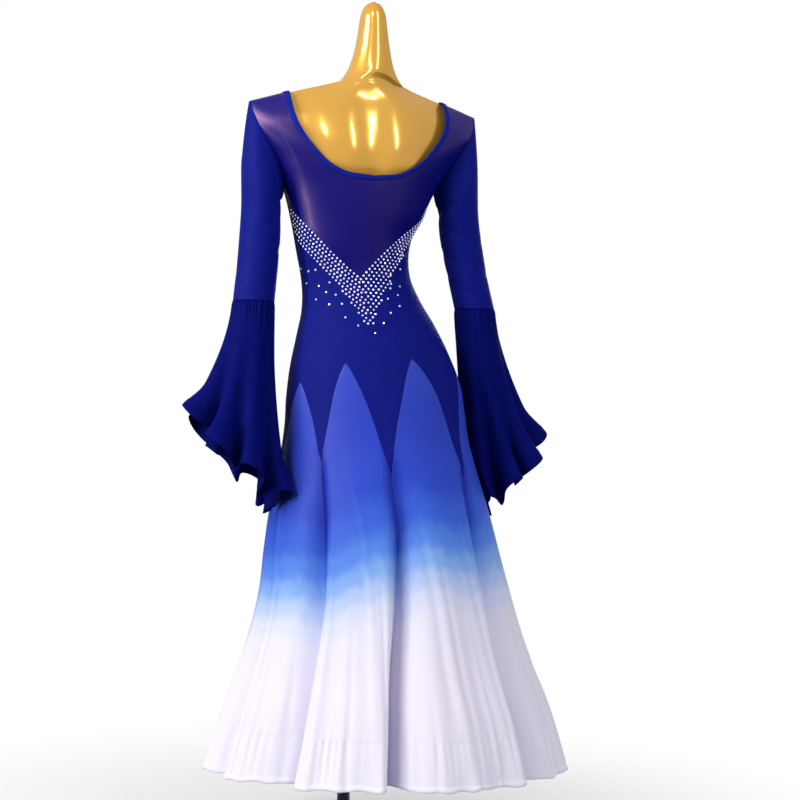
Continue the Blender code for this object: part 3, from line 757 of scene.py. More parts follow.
def woven(material, shader, thread, strength, distance, wander):
    """A weave of that thread pitch as bump, with a slow unevenness of the cloth."""
    uv = add_node(material, "ShaderNodeUVMap", uv_map="Cloth").outputs["UV"]
    scale = math.pi / 10.0 / thread
    waves = []
    for direction in ("X", "Y"):
        wave = add_node(
            material, "ShaderNodeTexWave",
            [("Vector", uv), ("Scale", scale), ("Distortion", 0.4)],
            bands_direction=direction,
        )
        waves.append(wave.outputs["Fac"])
    slow = add_node(
        material, "ShaderNodeTexNoise",
        [("Vector", uv), ("Scale", 38.0), ("Detail", 3.0), ("Roughness", 0.55)],
    ).outputs["Fac"]
    threads = add_node(material, "ShaderNodeMath", [(0, waves[0]), (1, waves[1])], operation="ADD")
    weave = add_node(
        material, "ShaderNodeMath",
        [(0, threads.outputs[0]), (1, 0.5), (2, 0.0)], operation="MULTIPLY_ADD",
    )
    slow_part = add_node(
        material, "ShaderNodeMath", [(0, slow), (1, wander), (2, weave.outputs[0])],
        operation="MULTIPLY_ADD",
    )
    bump = add_node(
        material, "ShaderNodeBump",
        [("Strength", strength), ("Distance", distance), ("Height", slow_part.outputs[0])],
    )
    plug(material, bump.outputs["Normal"], shader, "Normal")
    return slow


def make_knit(name, colour, light, sheen):
    """Matte stretch knit: royal blue, a little lighter in places, with no shine."""
    material, shader = new_material(name, colour, 0.58)
    slow = woven(material, shader, 0.0012, 0.35, 0.0004, 0.5)
    ramp = add_node(material, "ShaderNodeMix", [("Factor", slow)], data_type="RGBA")
    ramp.inputs["A"].default_value = srgb(colour)
    ramp.inputs["B"].default_value = srgb(light)
    plug(material, ramp.outputs["Result"], shader, "Base Color")
    shader.inputs["Sheen Weight"].default_value = sheen
    shader.inputs["Sheen Roughness"].default_value = 0.45
    shader.inputs["Sheen Tint"].default_value = srgb("#3040d0")
    shader.inputs["Specular IOR Level"].default_value = 0.07
    return material


def make_mesh_cloth():
    """Sheer power mesh, pulled tight: navy with a pinkish shine, the form just shows through."""
    material, shader = new_material("sheer_power_mesh", "#080e74", 0.31)
    slow = woven(material, shader, 0.0009, 0.12, 0.0002, 0.2)
    alpha = add_node(
        material, "ShaderNodeMapRange",
        [("Value", slow), ("From Min", 0.3), ("From Max", 0.7), ("To Min", 0.92), ("To Max", 0.95)],
    )
    plug(material, alpha.outputs["Result"], shader, "Alpha")
    shader.inputs["Specular IOR Level"].default_value = 0.60
    shader.inputs["Specular Tint"].default_value = srgb("#ffc8e6")
    return material


def make_ombre(name):
    """Satin chiffon dyed from blue through azure to white, by the level attribute.

    Where it lies deep in a fold or beside a godet's seam, the fold attribute multiplies it towards a greyish
    blue: painted shade.
    """
    material, shader = new_material(name, "#2b43bf", 0.46)
    slow = woven(material, shader, 0.0007, 0.22, 0.0003, 0.8)
    level = add_node(material, "ShaderNodeAttribute", attribute_name="level")
    uneven = add_node(
        material, "ShaderNodeMath", [(0, slow), (1, 0.030), (2, level.outputs["Fac"])],
        operation="MULTIPLY_ADD",
    )
    place = add_node(
        material, "ShaderNodeMapRange",
        [("Value", uneven.outputs[0]), ("From Min", DYE_LOW + 0.015), ("From Max", DYE_HIGH + 0.015)],
    )
    ramp = add_node(material, "ShaderNodeValToRGB", [("Fac", place.outputs["Result"])])
    stops = ramp.color_ramp.elements
    ramp.color_ramp.interpolation = "EASE"
    while len(stops) < len(OMBRE):
        stops.new(0.5)
    for stop, (level_of_stop, _) in zip(stops, OMBRE):
        stop.position = (level_of_stop - DYE_LOW) / (DYE_HIGH - DYE_LOW)
    for stop, (_, colour) in zip(stops, OMBRE):
        stop.color = srgb(colour)
    # Painted shade: the fold attribute darkens the dye towards a greyish blue in folds and by the seams.
    fold = add_node(material, "ShaderNodeAttribute", attribute_name="fold")
    depth = add_node(
        material, "ShaderNodeMapRange",
        [("Value", fold.outputs["Fac"]), ("From Min", 0.003), ("From Max", 0.050), ("To Max", 0.80)],
    )
    shade = add_node(
        material, "ShaderNodeMix", [("Factor", depth.outputs["Result"])],
        data_type="RGBA", blend_type="MULTIPLY",
    )
    plug(material, ramp.outputs["Color"], shade, "A")
    shade.inputs["B"].default_value = srgb("#6a7cc8")
    plug(material, shade.outputs["Result"], shader, "Base Color")
    shader.inputs["Sheen Weight"].default_value = 0.03
    shader.inputs["Sheen Roughness"].default_value = 0.4
    shader.inputs["Specular IOR Level"].default_value = 0.16
    return material


def make_flounce_cloth():
    """Plain chiffon in the knit's blue, in layers that look darker, with no shine."""
    material, shader = new_material("royal_chiffon", "#070c5c", 0.7)
    slow = woven(material, shader, 0.0008, 0.25, 0.0003, 0.8)
    ramp = add_node(material, "ShaderNodeMix", [("Factor", slow)], data_type="RGBA")
    ramp.inputs["A"].default_value = srgb("#050a52")
    ramp.inputs["B"].default_value = srgb("#0a1270")
    plug(material, ramp.outputs["Result"], shader, "Base Color")
    shader.inputs["Sheen Weight"].default_value = 0.03
    shader.inputs["Sheen Roughness"].default_value = 0.4
    shader.inputs["Sheen Tint"].default_value = srgb("#3848d8")
    shader.inputs["Specular IOR Level"].default_value = 0.03
    return material


def make_gold():
    """Gold lacquer on a moulded shell: a warm metallic ground under a clear coat."""
    material, shader = new_material("gold_lacquer", "#f6b949", 0.20, 0.50)
    place = add_node(material, "ShaderNodeTexCoord").outputs["Object"]
    slow = add_node(
        material, "ShaderNodeTexNoise", [("Vector", place), ("Scale", 9.0), ("Detail", 2.0)]
    ).outputs["Fac"]
    rough = add_node(
        material, "ShaderNodeMapRange", [("Value", slow), ("To Min", 0.13), ("To Max", 0.22)]
    )
    plug(material, rough.outputs["Result"], shader, "Roughness")
    bump = add_node(
        material, "ShaderNodeBump", [("Strength", 0.15), ("Distance", 0.002), ("Height", slow)]
    )
    plug(material, bump.outputs["Normal"], shader, "Normal")
    shader.inputs["Coat Weight"].default_value = 0.8
    shader.inputs["Coat Roughness"].default_value = 0.05
    return material


def make_chrome():
    """Chrome plate on steel, a little worn, so that its mirror is soft, on a lavender grey ground that is a
    painted reflection of the blue dress above it.
    """
    # Painted reflection: the lavender grey ground stands in for the dress that the pole mirrors, and keeps it
    # light in the dress's shade.
    material, shader = new_material("chrome_plate", "#b4b0cc", 0.20, 0.85)
    place = add_node(material, "ShaderNodeTexCoord").outputs["Object"]
    slow = add_node(
        material, "ShaderNodeTexNoise", [("Vector", place), ("Scale", 60.0), ("Detail", 3.0)]
    ).outputs["Fac"]
    rough = add_node(
        material, "ShaderNodeMapRange", [("Value", slow), ("To Min", 0.10), ("To Max", 0.24)]
    )
    plug(material, rough.outputs["Result"], shader, "Roughness")
    return material


def make_stone():
    """Foil-backed crystal with a painted glow that keeps it bright from any side, with a faint tint from
    stone to stone.
    """
    material, shader = new_material("crystal_stone", "#f4f2ff", 0.08, 0.35)
    place = add_node(material, "ShaderNodeTexCoord").outputs["Object"]
    spots = add_node(
        material, "ShaderNodeTexVoronoi", [("Vector", place), ("Scale", 150.0)]
    ).outputs["Color"]
    split = add_node(material, "ShaderNodeSeparateColor", [("Color", spots)])
    ramp = add_node(material, "ShaderNodeValToRGB", [("Fac", split.outputs[0])])
    stops = ramp.color_ramp.elements
    tints = ["#ffffff", "#e3ecff", "#f7f5ff", "#ffd9e6", "#cfe4ff"]
    while len(stops) < len(tints):
        stops.new(0.5)
    for k, stop in enumerate(stops):
        stop.position = k / (len(tints) - 1)
    for stop, tint in zip(stops, tints):
        stop.color = srgb(tint)
    plug(material, ramp.outputs["Color"], shader, "Base Color")
    # Painted glint: the stones glow in their tints whatever the light.
    plug(material, ramp.outputs["Color"], shader, "Emission Color")
    shader.inputs["Emission Strength"].default_value = 0.42
    shader.inputs["Coat Weight"].default_value = 1.0
    shader.inputs["Coat Roughness"].default_value = 0.03
    return material


# Pieces


def build_yoke():
    """The sheer back, from the V up over both shoulders, one layer without a wall."""
    bottom = [(angle, v_level(angle)) for angle in panel_angles(-90.0, GODETS // 2)]
    patches = panel_with_straps(bottom, NECK_BACK, below=4, above=18, strap_steps=32)
    return add_grid("yoke_back_cloth", [lifted(rows) for rows in patches], MESH_CLOTH, thickness=None)


def inside_panel(angle):
    """An angle kept just inside a panel's side seams, where the daggers' edge jumps."""
    return min(max(angle, -89.999), 89.999)


def build_back_bodice():
    """The knit below the V, cut in daggers at its lower edge."""
    angles = panel_angles(-90.0, GODETS // 2)
    bottom = [(angle, dagger_edge(inside_panel(angle))) for angle in angles]
    top = [(angle, v_level(angle)) for angle in angles]
    sides = []
    for sign, end in ((-1, 0), (1, -1)):
        low, high = bottom[end][1], top[end][1]
        levels = [low + (high - low) * j / BODICE_STEPS for j in range(BODICE_STEPS + 1)]
        sides.append([(sign * 90.0, level) for level in levels])
    rows = filled(bottom, top, *sides, calm=0.5)
    return add_grid("bodice_back_cloth", [lifted(rows)], KNIT)


def build_front_bodice():
    """The knit front from the daggers to the shoulders."""
    angles = panel_angles(-90.0, GODETS // 2)
    bottom = [(angle, dagger_edge(180.0 - inside_panel(angle))) for angle in angles]
    patches = panel_with_straps(bottom, NECK_FRONT, below=56, above=24, strap_steps=28, calm=0.4)
    pieces = [lifted(rows, back=False) for rows in patches]
    return add_grid("bodice_front_cloth", pieces, KNIT)


def binding_edges():
    """Both edges of the neck binding, all the way round."""
    inner, outer = [], []
    quarters = [(NECK_BACK, 1), (NECK_FRONT, 1), (NECK_FRONT, -1), (NECK_BACK, -1)]
    for neck, sign in quarters:
        front = neck is NECK_FRONT
        table = neck_by_share(neck)
        upwards = (sign > 0) != front
        for i in range(BINDING_STEPS):
            left = 1 - i / BINDING_STEPS if upwards else i / BINDING_STEPS
            _, angle, level, out_angle, out_level = between(table, 1 - left**STRAP_EASE)
            for edge, a, b in ((inner, angle, level), (outer, out_angle, out_level)):
                edge.append(cloth(180.0 - sign * a if front else sign * a, b))
    return inner, outer


def softened(value, power):
    """A sine or cosine with its sign, drawn towards a flatter curve."""
    return math.copysign(abs(value) ** power, value)


def build_binding():
    """A rolled band round the neck, thicker in its middle."""
    inner, outer = binding_edges()
    count = len(inner)
    rows = []
    for k in range(BINDING_SIDES + 1):
        turn = 2 * math.pi * k / BINDING_SIDES
        across = 0.525 * softened(math.cos(turn), 0.7)
        up = PIPING * softened(math.sin(turn), 0.8) - 0.0004
        row = []
        for i in range(count):
            run = inner[(i + 1) % count] - inner[i - 1]
            wide = outer[i] - inner[i]
            normal = wide.cross(run).normalized()
            row.append((inner[i] + outer[i]) * 0.5 + wide * across + normal * up)
        rows.append(row)
    return add_grid("neck_binding_cloth", [list(reversed(rows))], BINDING, closed=True, thickness=None)


def dye_and_shade_level(angle, level):
    """The level that the dye is read at: its edge wanders a little round the skirt, and in folds it is read
    higher, which paints shade into them as a deeper blue.
    """
    turn = math.radians(angle)
    wander = 0.014 * math.cos(turn) - 0.062 * max(math.sin(turn), 0.0)
    wander += 0.006 * math.sin(5 * turn + 1.0) - 0.004 * math.sin(11 * turn)
    # Painted shade: the fold's depth makes the dye bluer in it.
    return level - wander + 0.5 * fold_depth(angle, level)


def shade_of_fold(angle, level):
    """Painted shade for a fold, by how deep the cloth lies in it, weaker where the cloth is white."""
    return fold_depth(angle, level) * (0.30 + 0.70 * smooth(level, 0.40, 0.62))


def gathers(angle, level, low):
    """Small ruffles above and below the band's seam, which is at low."""
    off = level - low
    if abs(off) > 0.085:
        return 0.0
    turn = math.radians(angle)
    ripple = math.sin(150 * turn + 2.0 * math.sin(9 * turn)) + 0.6 * math.sin(97 * turn + 1.0)
    ripple *= 0.6 + 0.4 * math.sin(13 * turn)
    return GATHER * ripple * bell(off, 0.014 if off > 0 else 0.060)


def godet_row(j, edge, low):
    """The level of a row between the leaf's edge and the band's seam.

    The first two rows are tucked behind the bodice, and the last two lie close together.
    """
    if j < 2:
        return edge + TUCK * (2 - j) / 2
    down = (j - 2) / GODET_STEPS
    if j > GODET_STEPS + 1:
        down = 1.0 - 0.0006 * (GODET_STEPS + 3 - j)
    return edge + (low - edge) * down


def build_godet(number):
    """A leaf-topped panel of the skirt, tucked behind the bodice and seamed at both sides."""
    rows, levels, folds = [], [], []
    for j in range(GODET_STEPS + 4):
        row, line, deep = [], [], []
        for i in range(GODET_COLUMNS + 1):
            share = crowded(i / GODET_COLUMNS)
            top_angle = PANEL * (number + share)
            edge = dagger_edge(min(top_angle, PANEL * (number + 1) - 1e-6))
            low = hem_level(top_angle) + BAND
            level = godet_row(j, edge, low)
            behind = TUCK_DEPTH * (1 - smooth(edge - level, 0.0, 0.003))
            left, right = seam_angle(number, level), seam_angle(number + 1, level)
            angle = left + (right - left) * share
            by_seam = min(share, 1 - share) * (right - left) * 4.5
            groove = 0.0011 * bell(by_seam, 2.2) * (1 - smooth(level, 0.70, 0.74))
            inset = behind + groove + gathers(angle, level, low)
            row.append(cloth(angle, level, inset))
            line.append(dye_and_shade_level(angle, level))
            # Painted shade: the cloth beside each seam is darkened in the blue part below the daggers.
            beside = 0.045 * bell(by_seam, 18.0)
            beside *= smooth(level, 0.52, 0.64) * (1 - smooth(level, 0.80, 0.88))
            deep.append(shade_of_fold(angle, level) + beside)
        rows.append(row)
        levels.append(line)
        folds.append(deep)
    extra = {"level": [levels], "fold": [folds]}
    return add_grid(f"godet_{number + 1}_cloth", [rows], CHIFFON, extra=extra)


def build_hem_band(number):
    """A quarter of the gathered band with its rolled edge, under two godets."""
    rows, levels, folds = [], [], []
    for down in BAND_ROWS:
        row, line, deep = [], [], []
        for i in range(2 * BAND_COLUMNS + 1):
            part = 1 if i > BAND_COLUMNS else 0
            godet = 2 * number + part
            share = crowded((i - part * BAND_COLUMNS) / BAND_COLUMNS)
            top_angle = PANEL * (godet + share)
            high = hem_level(top_angle) + BAND
            level = high - down
            left, right = seam_angle(godet, level), seam_angle(godet + 1, level)
            angle = left + (right - left) * share
            edge = smooth(down, ROLL_START, ROLL_START + 0.0025)
            rolled = min(max((down - ROLL_START) / (BAND - ROLL_START), 0.0), 1.0)
            roll = 0.0013 * edge * math.sin(math.pi * rolled) ** 0.5
            inset = gathers(angle, level, high) - roll + 0.0003 * bell(down, 0.0010)
            turn = math.radians(angle)
            wave = 0.0016 * math.sin(31 * turn + math.sin(7 * turn)) * smooth(down, 0.02, BAND)
            rise = 0.0012 * math.sin(43 * turn + 2.0 * math.sin(5 * turn)) * smooth(down, 0.03, BAND)
            point = cloth(angle, level, inset + wave)
            point.z += rise
            row.append(point)
            line.append(0.20 + 0.03 * edge)
            # Painted shade of the folds, carried by the fold attribute.
            deep.append(shade_of_fold(angle, level))
        rows.append(row)
        levels.append(line)
        folds.append(deep)
    extra = {"level": [levels], "fold": [folds]}
    return add_grid(f"hem_band_{number + 1}_cloth", [rows], HEM_CLOTH, extra=extra)


def armhole_loop(sign, count):
    """The points of the armhole's seam, from the shoulder round under the arm."""
    loop = []
    for i in range(count):
        share = i / count
        down = 2 * share if share <= 0.5 else 2 - 2 * share
        level = RIDGE + (ARMPIT - RIDGE) * (down * down * (3 - 2 * down) * 0.5 + down * 0.5)
        angle = between(ARMHOLE, level)[1]
        if share > 0.5:
            angle = 180.0 - angle
        point = cloth(sign * angle, level)
        point.x += sign * 0.0003
        loop.append(point)
    return loop


def sleeve_point(ring, share, sign, swing):
    """A point of a sleeve's ring, at a share of its way round from the outer side."""
    level, x, y, half, deep, lift = ring
    turn = 2 * math.pi * share
    across, along = math.cos(turn), math.sin(turn)
    return Vector((
        sign * (x + swing + half * across) + SHOULDER_SHIFT,
        y + deep * along,
        level + lift * across,
    ))


def sleeve_rows(sign, swing, count):
    """A few rings from the armhole to the cuff, which swings out from the body."""
    loop = armhole_loop(sign, count)
    top, last = SLEEVE_RINGS[0], SLEEVE_RINGS[-1]
    drop = top[0] - last[0]
    rows = []
    head_steps = 4
    for j in range(head_steps):
        part = j / head_steps
        row = []
        for i, start in enumerate(loop):
            end = sleeve_point(top, i / count, sign, 0.0)
            point = start.lerp(end, part)
            outer = math.cos(2 * math.pi * i / count)
            point.x += sign * 0.008 * outer * part * (1 - part)
            row.append(point)
        rows.append(row)
    for ring in SLEEVE_RINGS:
        out = swing * ((top[0] - ring[0]) / drop) ** 1.3
        rows.append([sleeve_point(ring, i / count, sign, out) for i in range(count)])
    return rows


def build_sleeve(side):
    """A fitted sleeve with its creases, the seam under the arm and the armhole's seam."""
    name, sign, swing = side[:3]
    count = SLEEVE_COLUMNS
    rows = finer_rows(sleeve_rows(sign, swing, count), SLEEVE_STEPS)
    for j, row in enumerate(rows):
        middle = sum(row, Vector()) / count
        for i, point in enumerate(row):
            inset = 0.0
            for level, place, slope, deep, high, wide in SLEEVE_CREASES:
                beside = signed(360.0 * i / count - place)
                off = point.z - level - beside / slope * 0.1
                inset += deep * bell(off, high) * bell(beside, wide)
            inset += 0.0008 * bell(signed(360.0 * i / count - 180.0), 1.8)
            inset += 0.0010 * bell(j, 1.5)
            out = Vector((point.x - middle.x, point.y - middle.y, 0.0)).normalized()
            row[i] = point - out * inset
    if sign > 0:
        rows = [list(reversed(row)) for row in rows]
    return add_grid(f"sleeve_{name}_cloth", [list(reversed(rows))], KNIT, closed=True)


def clear_of_skirt(point, margin):
    """A point of a flounce, moved out where it would come too near the dress."""
    ring = between(DRESS_RINGS, point.z)
    x, y = point.x - ring[4], point.y - ring[5]
    deep = ring[2] if y > 0 else ring[3]
    far = math.hypot(x, y)
    share = math.hypot(x / ring[1], y / deep)
    least = 1.0 + margin / (far / share)
    if share < least:
        point.x = ring[4] + x * least / share
        point.y = ring[5] + y * least / share
    return point


def build_flounce(side):
    """A gathered bell, long at the inner side, whose hem turns over in rolls."""
    name, sign, swing, mid_x, mid_y, half, deep, outside, inside = side
    top = SLEEVE_RINGS[-1]
    rows = []
    for j in range(FLOUNCE_STEPS + 1):
        part = (j / FLOUNCE_STEPS) ** 0.92
        row = []
        for i in range(FLOUNCE_COLUMNS):
            share = i / FLOUNCE_COLUMNS
            turn = 2 * math.pi * share
            phase = FLOUNCE_WAVES * turn + 0.7 * math.sin(turn)
            wave = math.sin(phase)
            turned = turn - 0.050 * math.sin(2 * phase) * part**2.0
            turned -= 0.075 * math.cos(phase) * part**4
            start = sleeve_point(top, share, sign, swing)
            ripple = (FLOUNCE_WAVE + 0.005 * math.sin(3 * turn)) * wave * part**1.1
            curl = smooth(part, 0.72, 1.0)
            ripple += (FLOUNCE_ROLL + 0.003 * math.sin(5 * turn + 1.0)) * wave * curl
            flare = part**1.3
            x = mid_x + (half + ripple) * math.cos(turned)
            y = mid_y + (deep + ripple) * math.sin(turned)
            low = (outside + inside) / 2 + (outside - inside) / 2 * math.cos(turned)
            low += FLOUNCE_LIFT * max(math.cos(turned), 0.0) ** 6 + 0.015 * wave * curl
            small = math.sin(33 * turn + 2.6 * math.sin(5 * turn)) + 0.7 * math.sin(19 * turn + 1.0)
            outset = 0.0009 * small * bell(part, 0.14) - 0.0012 * bell(part, 0.012)
            outset += 0.0009 * smooth(part, 0.935, 0.94)
            point = Vector((
                start.x + (sign * x + SHOULDER_SHIFT - start.x) * flare,
                start.y + (y - start.y) * flare,
                start.z + (low - start.z) * part,
            )) + Vector((sign * math.cos(turn), math.sin(turn), 0.0)) * outset
            row.append(clear_of_skirt(point, 0.006 + 0.004 * (1 + wave) * part))
        rows.append(row)
    if sign > 0:
        rows = [list(reversed(row)) for row in rows]
    return add_grid(f"flounce_{name}_cloth", [list(reversed(rows))], FLOUNCE_CLOTH, closed=True)


def form_rings():
    """The form's rings: its foot, the dress's own rings drawn in, and its head."""
    body = [ring for ring in DRESS_RINGS if 0.80 < ring[0] < 1.26]
    rings = list(FORM_FOOT)
    for level, half, back, front, shift_x, shift_y, fall, rise in body:
        inner = (half - UNDER, back - UNDER, front - UNDER)
        rings.append((level, *inner, shift_x, shift_y, fall, rise, 0.0))
    return rings + FORM_HEAD


def back_relief(angle, level):
    """The hollow along the form's spine and below the shoulder blades."""
    high = smooth(level, 1.10, 1.22) * (1 - smooth(level, 1.44, 1.475))
    spine = 0.0060 * bell(signed(angle), 10.0)
    blade = abs(abs(signed(angle)) - 24.0)
    beside = 0.0030 * smooth(blade, 6.0, 20.0) * math.exp(-((signed(angle) / 60.0) ** 4))
    return high * (spine + beside)


def build_form():
    """The gold shell, turned from its rings, with its neck smoothed into the shoulders."""
    rings = form_rings()
    coarse = []
    for ring in rings:
        row = []
        for i in range(FORM_COLUMNS):
            angle = -360.0 * i / FORM_COLUMNS
            row.append(on_ring(ring, angle, back_relief(angle, ring[0])))
        coarse.append(row)
    rows = finer_rows(coarse, FORM_STEPS * (len(rings) - 1))
    form = as_tube(rows, GOLD, "form_body_shell")
    bm = bmesh.new()
    bm.from_mesh(form.data)
    low, high, middle, half = FORM_NECK
    neck = [v for v in bm.verts if low < v.co.z < high and abs(v.co.x - middle) < half]
    axes = {"use_axis_x": True, "use_axis_y": True, "use_axis_z": True}
    for _ in range(NECK_SMOOTHING):
        bmesh.ops.smooth_vert(bm, verts=neck, factor=0.5, **axes)
    bm.to_mesh(form.data)
    bm.free()
    return form


def build_turned(name, profile):
    """A chromed piece turned round the stand's axis, from (radius, z) points."""
    rows = []
    for radius, z in profile:
        row = []
        for i in range(TURNED_COLUMNS):
            turn = -2 * math.pi * i / TURNED_COLUMNS
            row.append(Vector((radius * math.sin(turn), radius * math.cos(turn), z)))
        rows.append(row)
    return as_tube(rows, CHROME, name)


def rounded_profile(radius, low, high):
    """A turned disc or collar with a rounded upper edge, from below to above."""
    bevel = 0.0008
    profile = [(radius - bevel, low), (radius, low + bevel)]
    steps = 8
    for k in range(steps + 1):
        turn = math.pi / 2 * k / steps
        profile.append((radius - LIP + LIP * math.cos(turn), high - LIP + LIP * math.sin(turn)))
    return profile


def stone_frame(angle, level):
    """A point on the cloth, its normal and a direction across the cloth."""
    step = 0.4
    point = cloth(angle, level)
    across = cloth(angle + step, level) - cloth(angle - step, level)
    up = cloth(angle, level + 0.002) - cloth(angle, level - 0.002)
    normal = up.cross(across).normalized()
    if normal.dot(Vector((point.x, point.y, 0.0))) < 0:
        normal = -normal
    return point, normal, across.normalized()


def dense_stones():
    """Rows of stones along the V, staggered, closer to the V's point than far from it."""
    spots = []
    for k in range(STONE_ROWS):
        drop = FIRST_ROW + STONE_ROW * k
        for sign in (-1, 1):
            angle = STAGGER * (k % 2)
            while angle < STONES_END:
                here = sign * angle
                if drop < between(STONE_DROP, here)[1] and (angle > 0.0 or sign > 0):
                    spots.append((here, v_level(here) - drop))
                spot = cloth(here, v_level(here) - drop)
                ahead = cloth(here + sign, v_level(here + sign) - drop)
                angle += STONE_PITCH / (ahead - spot).length
    return spots


def loose_stones():
    """The scattered stones, from where the photo shows them."""
    spots = []
    for across, up in LOOSE_STONES:
        share = max(-1.0, min(1.0, across / HALF_WAIST))
        spots.append((WAIST_MIDDLE - math.degrees(math.asin(share)), WAIST_Z + PHOTO_STEP * up))
    return spots


def cut_stone(tree, inputs):
    """A stone of radius 1 in a tree: a girdle, a crown and a table, open at its back."""
    levels = [inputs["Lift"]]
    for name in ("Girdle height", "Crown height"):
        above = add_node(tree, "ShaderNodeMath", [(0, levels[-1]), (1, inputs[name])], operation="ADD")
        levels.append(above.outputs[0])
    crown_radius, table_radius = inputs["Crown radius"], inputs["Table radius"]
    girdle = [("Radius Bottom", 1.0), ("Radius Top", crown_radius), ("Depth", inputs["Girdle height"])]
    crown = [("Radius Bottom", crown_radius), ("Radius Top", table_radius), ("Depth", inputs["Crown height"])]
    sides = [("Vertices", STONE_SIDES)]
    shells = [
        add_node(tree, "GeometryNodeMeshCone", sides + girdle, fill_type="NONE"),
        add_node(tree, "GeometryNodeMeshCone", sides + crown, fill_type="NONE"),
        add_node(tree, "GeometryNodeMeshCircle", sides + [("Radius", table_radius)], fill_type="NGON"),
    ]
    parts = []
    for shell, level in zip(shells, levels):
        place = add_node(tree, "ShaderNodeCombineXYZ", [("Z", level)]).outputs[0]
        moved = add_node(
            tree, "GeometryNodeTransform", [("Geometry", shell.outputs["Mesh"]), ("Translation", place)]
        )
        parts.append(("Geometry", moved.outputs[0]))
    joined = add_node(tree, "GeometryNodeJoinGeometry", parts).outputs[0]
    welded = add_node(tree, "GeometryNodeMergeByDistance", [("Geometry", joined), ("Distance", 0.001)])
    return welded.outputs[0]


def stone_tree():
    """The tree that sets a cut stone on each point, along its facing and across attributes."""
    tree = bpy.data.node_groups.new("set_stones", "GeometryNodeTree")
    tree.interface.new_socket("Points", in_out="INPUT", socket_type="NodeSocketGeometry")
    for name in STONE_CUT:
        tree.interface.new_socket(name, in_out="INPUT", socket_type="NodeSocketFloat")
    tree.interface.new_socket("Stones", in_out="OUTPUT", socket_type="NodeSocketGeometry")
    inputs = add_node(tree, "NodeGroupInput").outputs

    turned = None
    for name, axis, pivot in (("facing", "Z", "AUTO"), ("across", "X", "Z")):
        attribute = add_node(tree, "GeometryNodeInputNamedAttribute", data_type="FLOAT_VECTOR")
        attribute.inputs["Name"].default_value = name
        links = [("Vector", attribute.outputs["Attribute"])]
        if turned:
            links.append(("Rotation", turned))
        turned = add_node(
            tree, "FunctionNodeAlignRotationToVector", links, axis=axis, pivot_axis=pivot
        ).outputs[0]
    number = add_node(tree, "GeometryNodeInputIndex").outputs[0]
    twist = add_node(tree, "ShaderNodeMath", [(0, number), (1, inputs["Twist"])], operation="MULTIPLY")
    by_twist = add_node(
        tree, "FunctionNodeAxisAngleToRotation", [("Axis", (0.0, 0.0, 1.0)), ("Angle", twist.outputs[0])]
    ).outputs[0]
    rotation = add_node(
        tree, "FunctionNodeRotateRotation", [("Rotation", turned), ("Rotate By", by_twist)],
        rotation_space="LOCAL",
    ).outputs[0]

    phase = add_node(
        tree, "ShaderNodeMath", [(0, number), (1, inputs["Size phase"])], operation="MULTIPLY"
    ).outputs[0]
    uneven = add_node(tree, "ShaderNodeMath", [(0, phase)], operation="SINE").outputs[0]
    size = add_node(
        tree, "ShaderNodeMath", [(0, uneven), (1, inputs["Size spread"]), (2, 1.0)],
        operation="MULTIPLY_ADD",
    ).outputs[0]
    scale = add_node(
        tree, "ShaderNodeMath", [(0, size), (1, inputs["Stone radius"])], operation="MULTIPLY"
    ).outputs[0]
    stones = add_node(
        tree, "GeometryNodeInstanceOnPoints",
        [("Points", inputs["Points"]), ("Instance", cut_stone(tree, inputs)),
         ("Rotation", rotation), ("Scale", scale)],
    ).outputs[0]
    real = add_node(tree, "GeometryNodeRealizeInstances", [("Geometry", stones)]).outputs[0]
    finished = add_node(tree, "GeometryNodeSetMaterial", [("Geometry", real), ("Material", STONE)])
    add_node(tree, "NodeGroupOutput", [("Stones", finished.outputs[0])])
    return tree


def build_stones():
    """One plain mesh of all the stones, set on the back bodice by a node tree."""
    frames = [stone_frame(angle, level) for angle, level in dense_stones() + loose_stones()]
    spots = bpy.data.meshes.new("stone_spots")
    spots.from_pydata([tuple(point) for point, _, _ in frames], [], [])
    for name, column in (("facing", 1), ("across", 2)):
        values = np.array([tuple(row[column]) for row in frames], np.float32)
        spots.attributes.new(name, "FLOAT_VECTOR", "POINT").data.foreach_set("vector", values.ravel())
    stones = add_piece("rhinestones", spots, STONE)
    modifier = stones.modifiers.new("Stones", "NODES")
    modifier.node_group = stone_tree()
    for socket in modifier.node_group.interface.items_tree:
        if socket.name in STONE_CUT:
            modifier[socket.identifier] = STONE_CUT[socket.name]
    depsgraph = bpy.context.evaluated_depsgraph_get()
    mesh = bpy.data.meshes.new_from_object(stones.evaluated_get(depsgraph))
    mesh.materials.clear()
    mesh.materials.append(STONE)
    mesh.polygons.foreach_set("material_index", np.zeros(len(mesh.polygons), np.int32))
    stones.modifiers.remove(modifier)
    stones.data = mesh
    return stones


# Surroundings


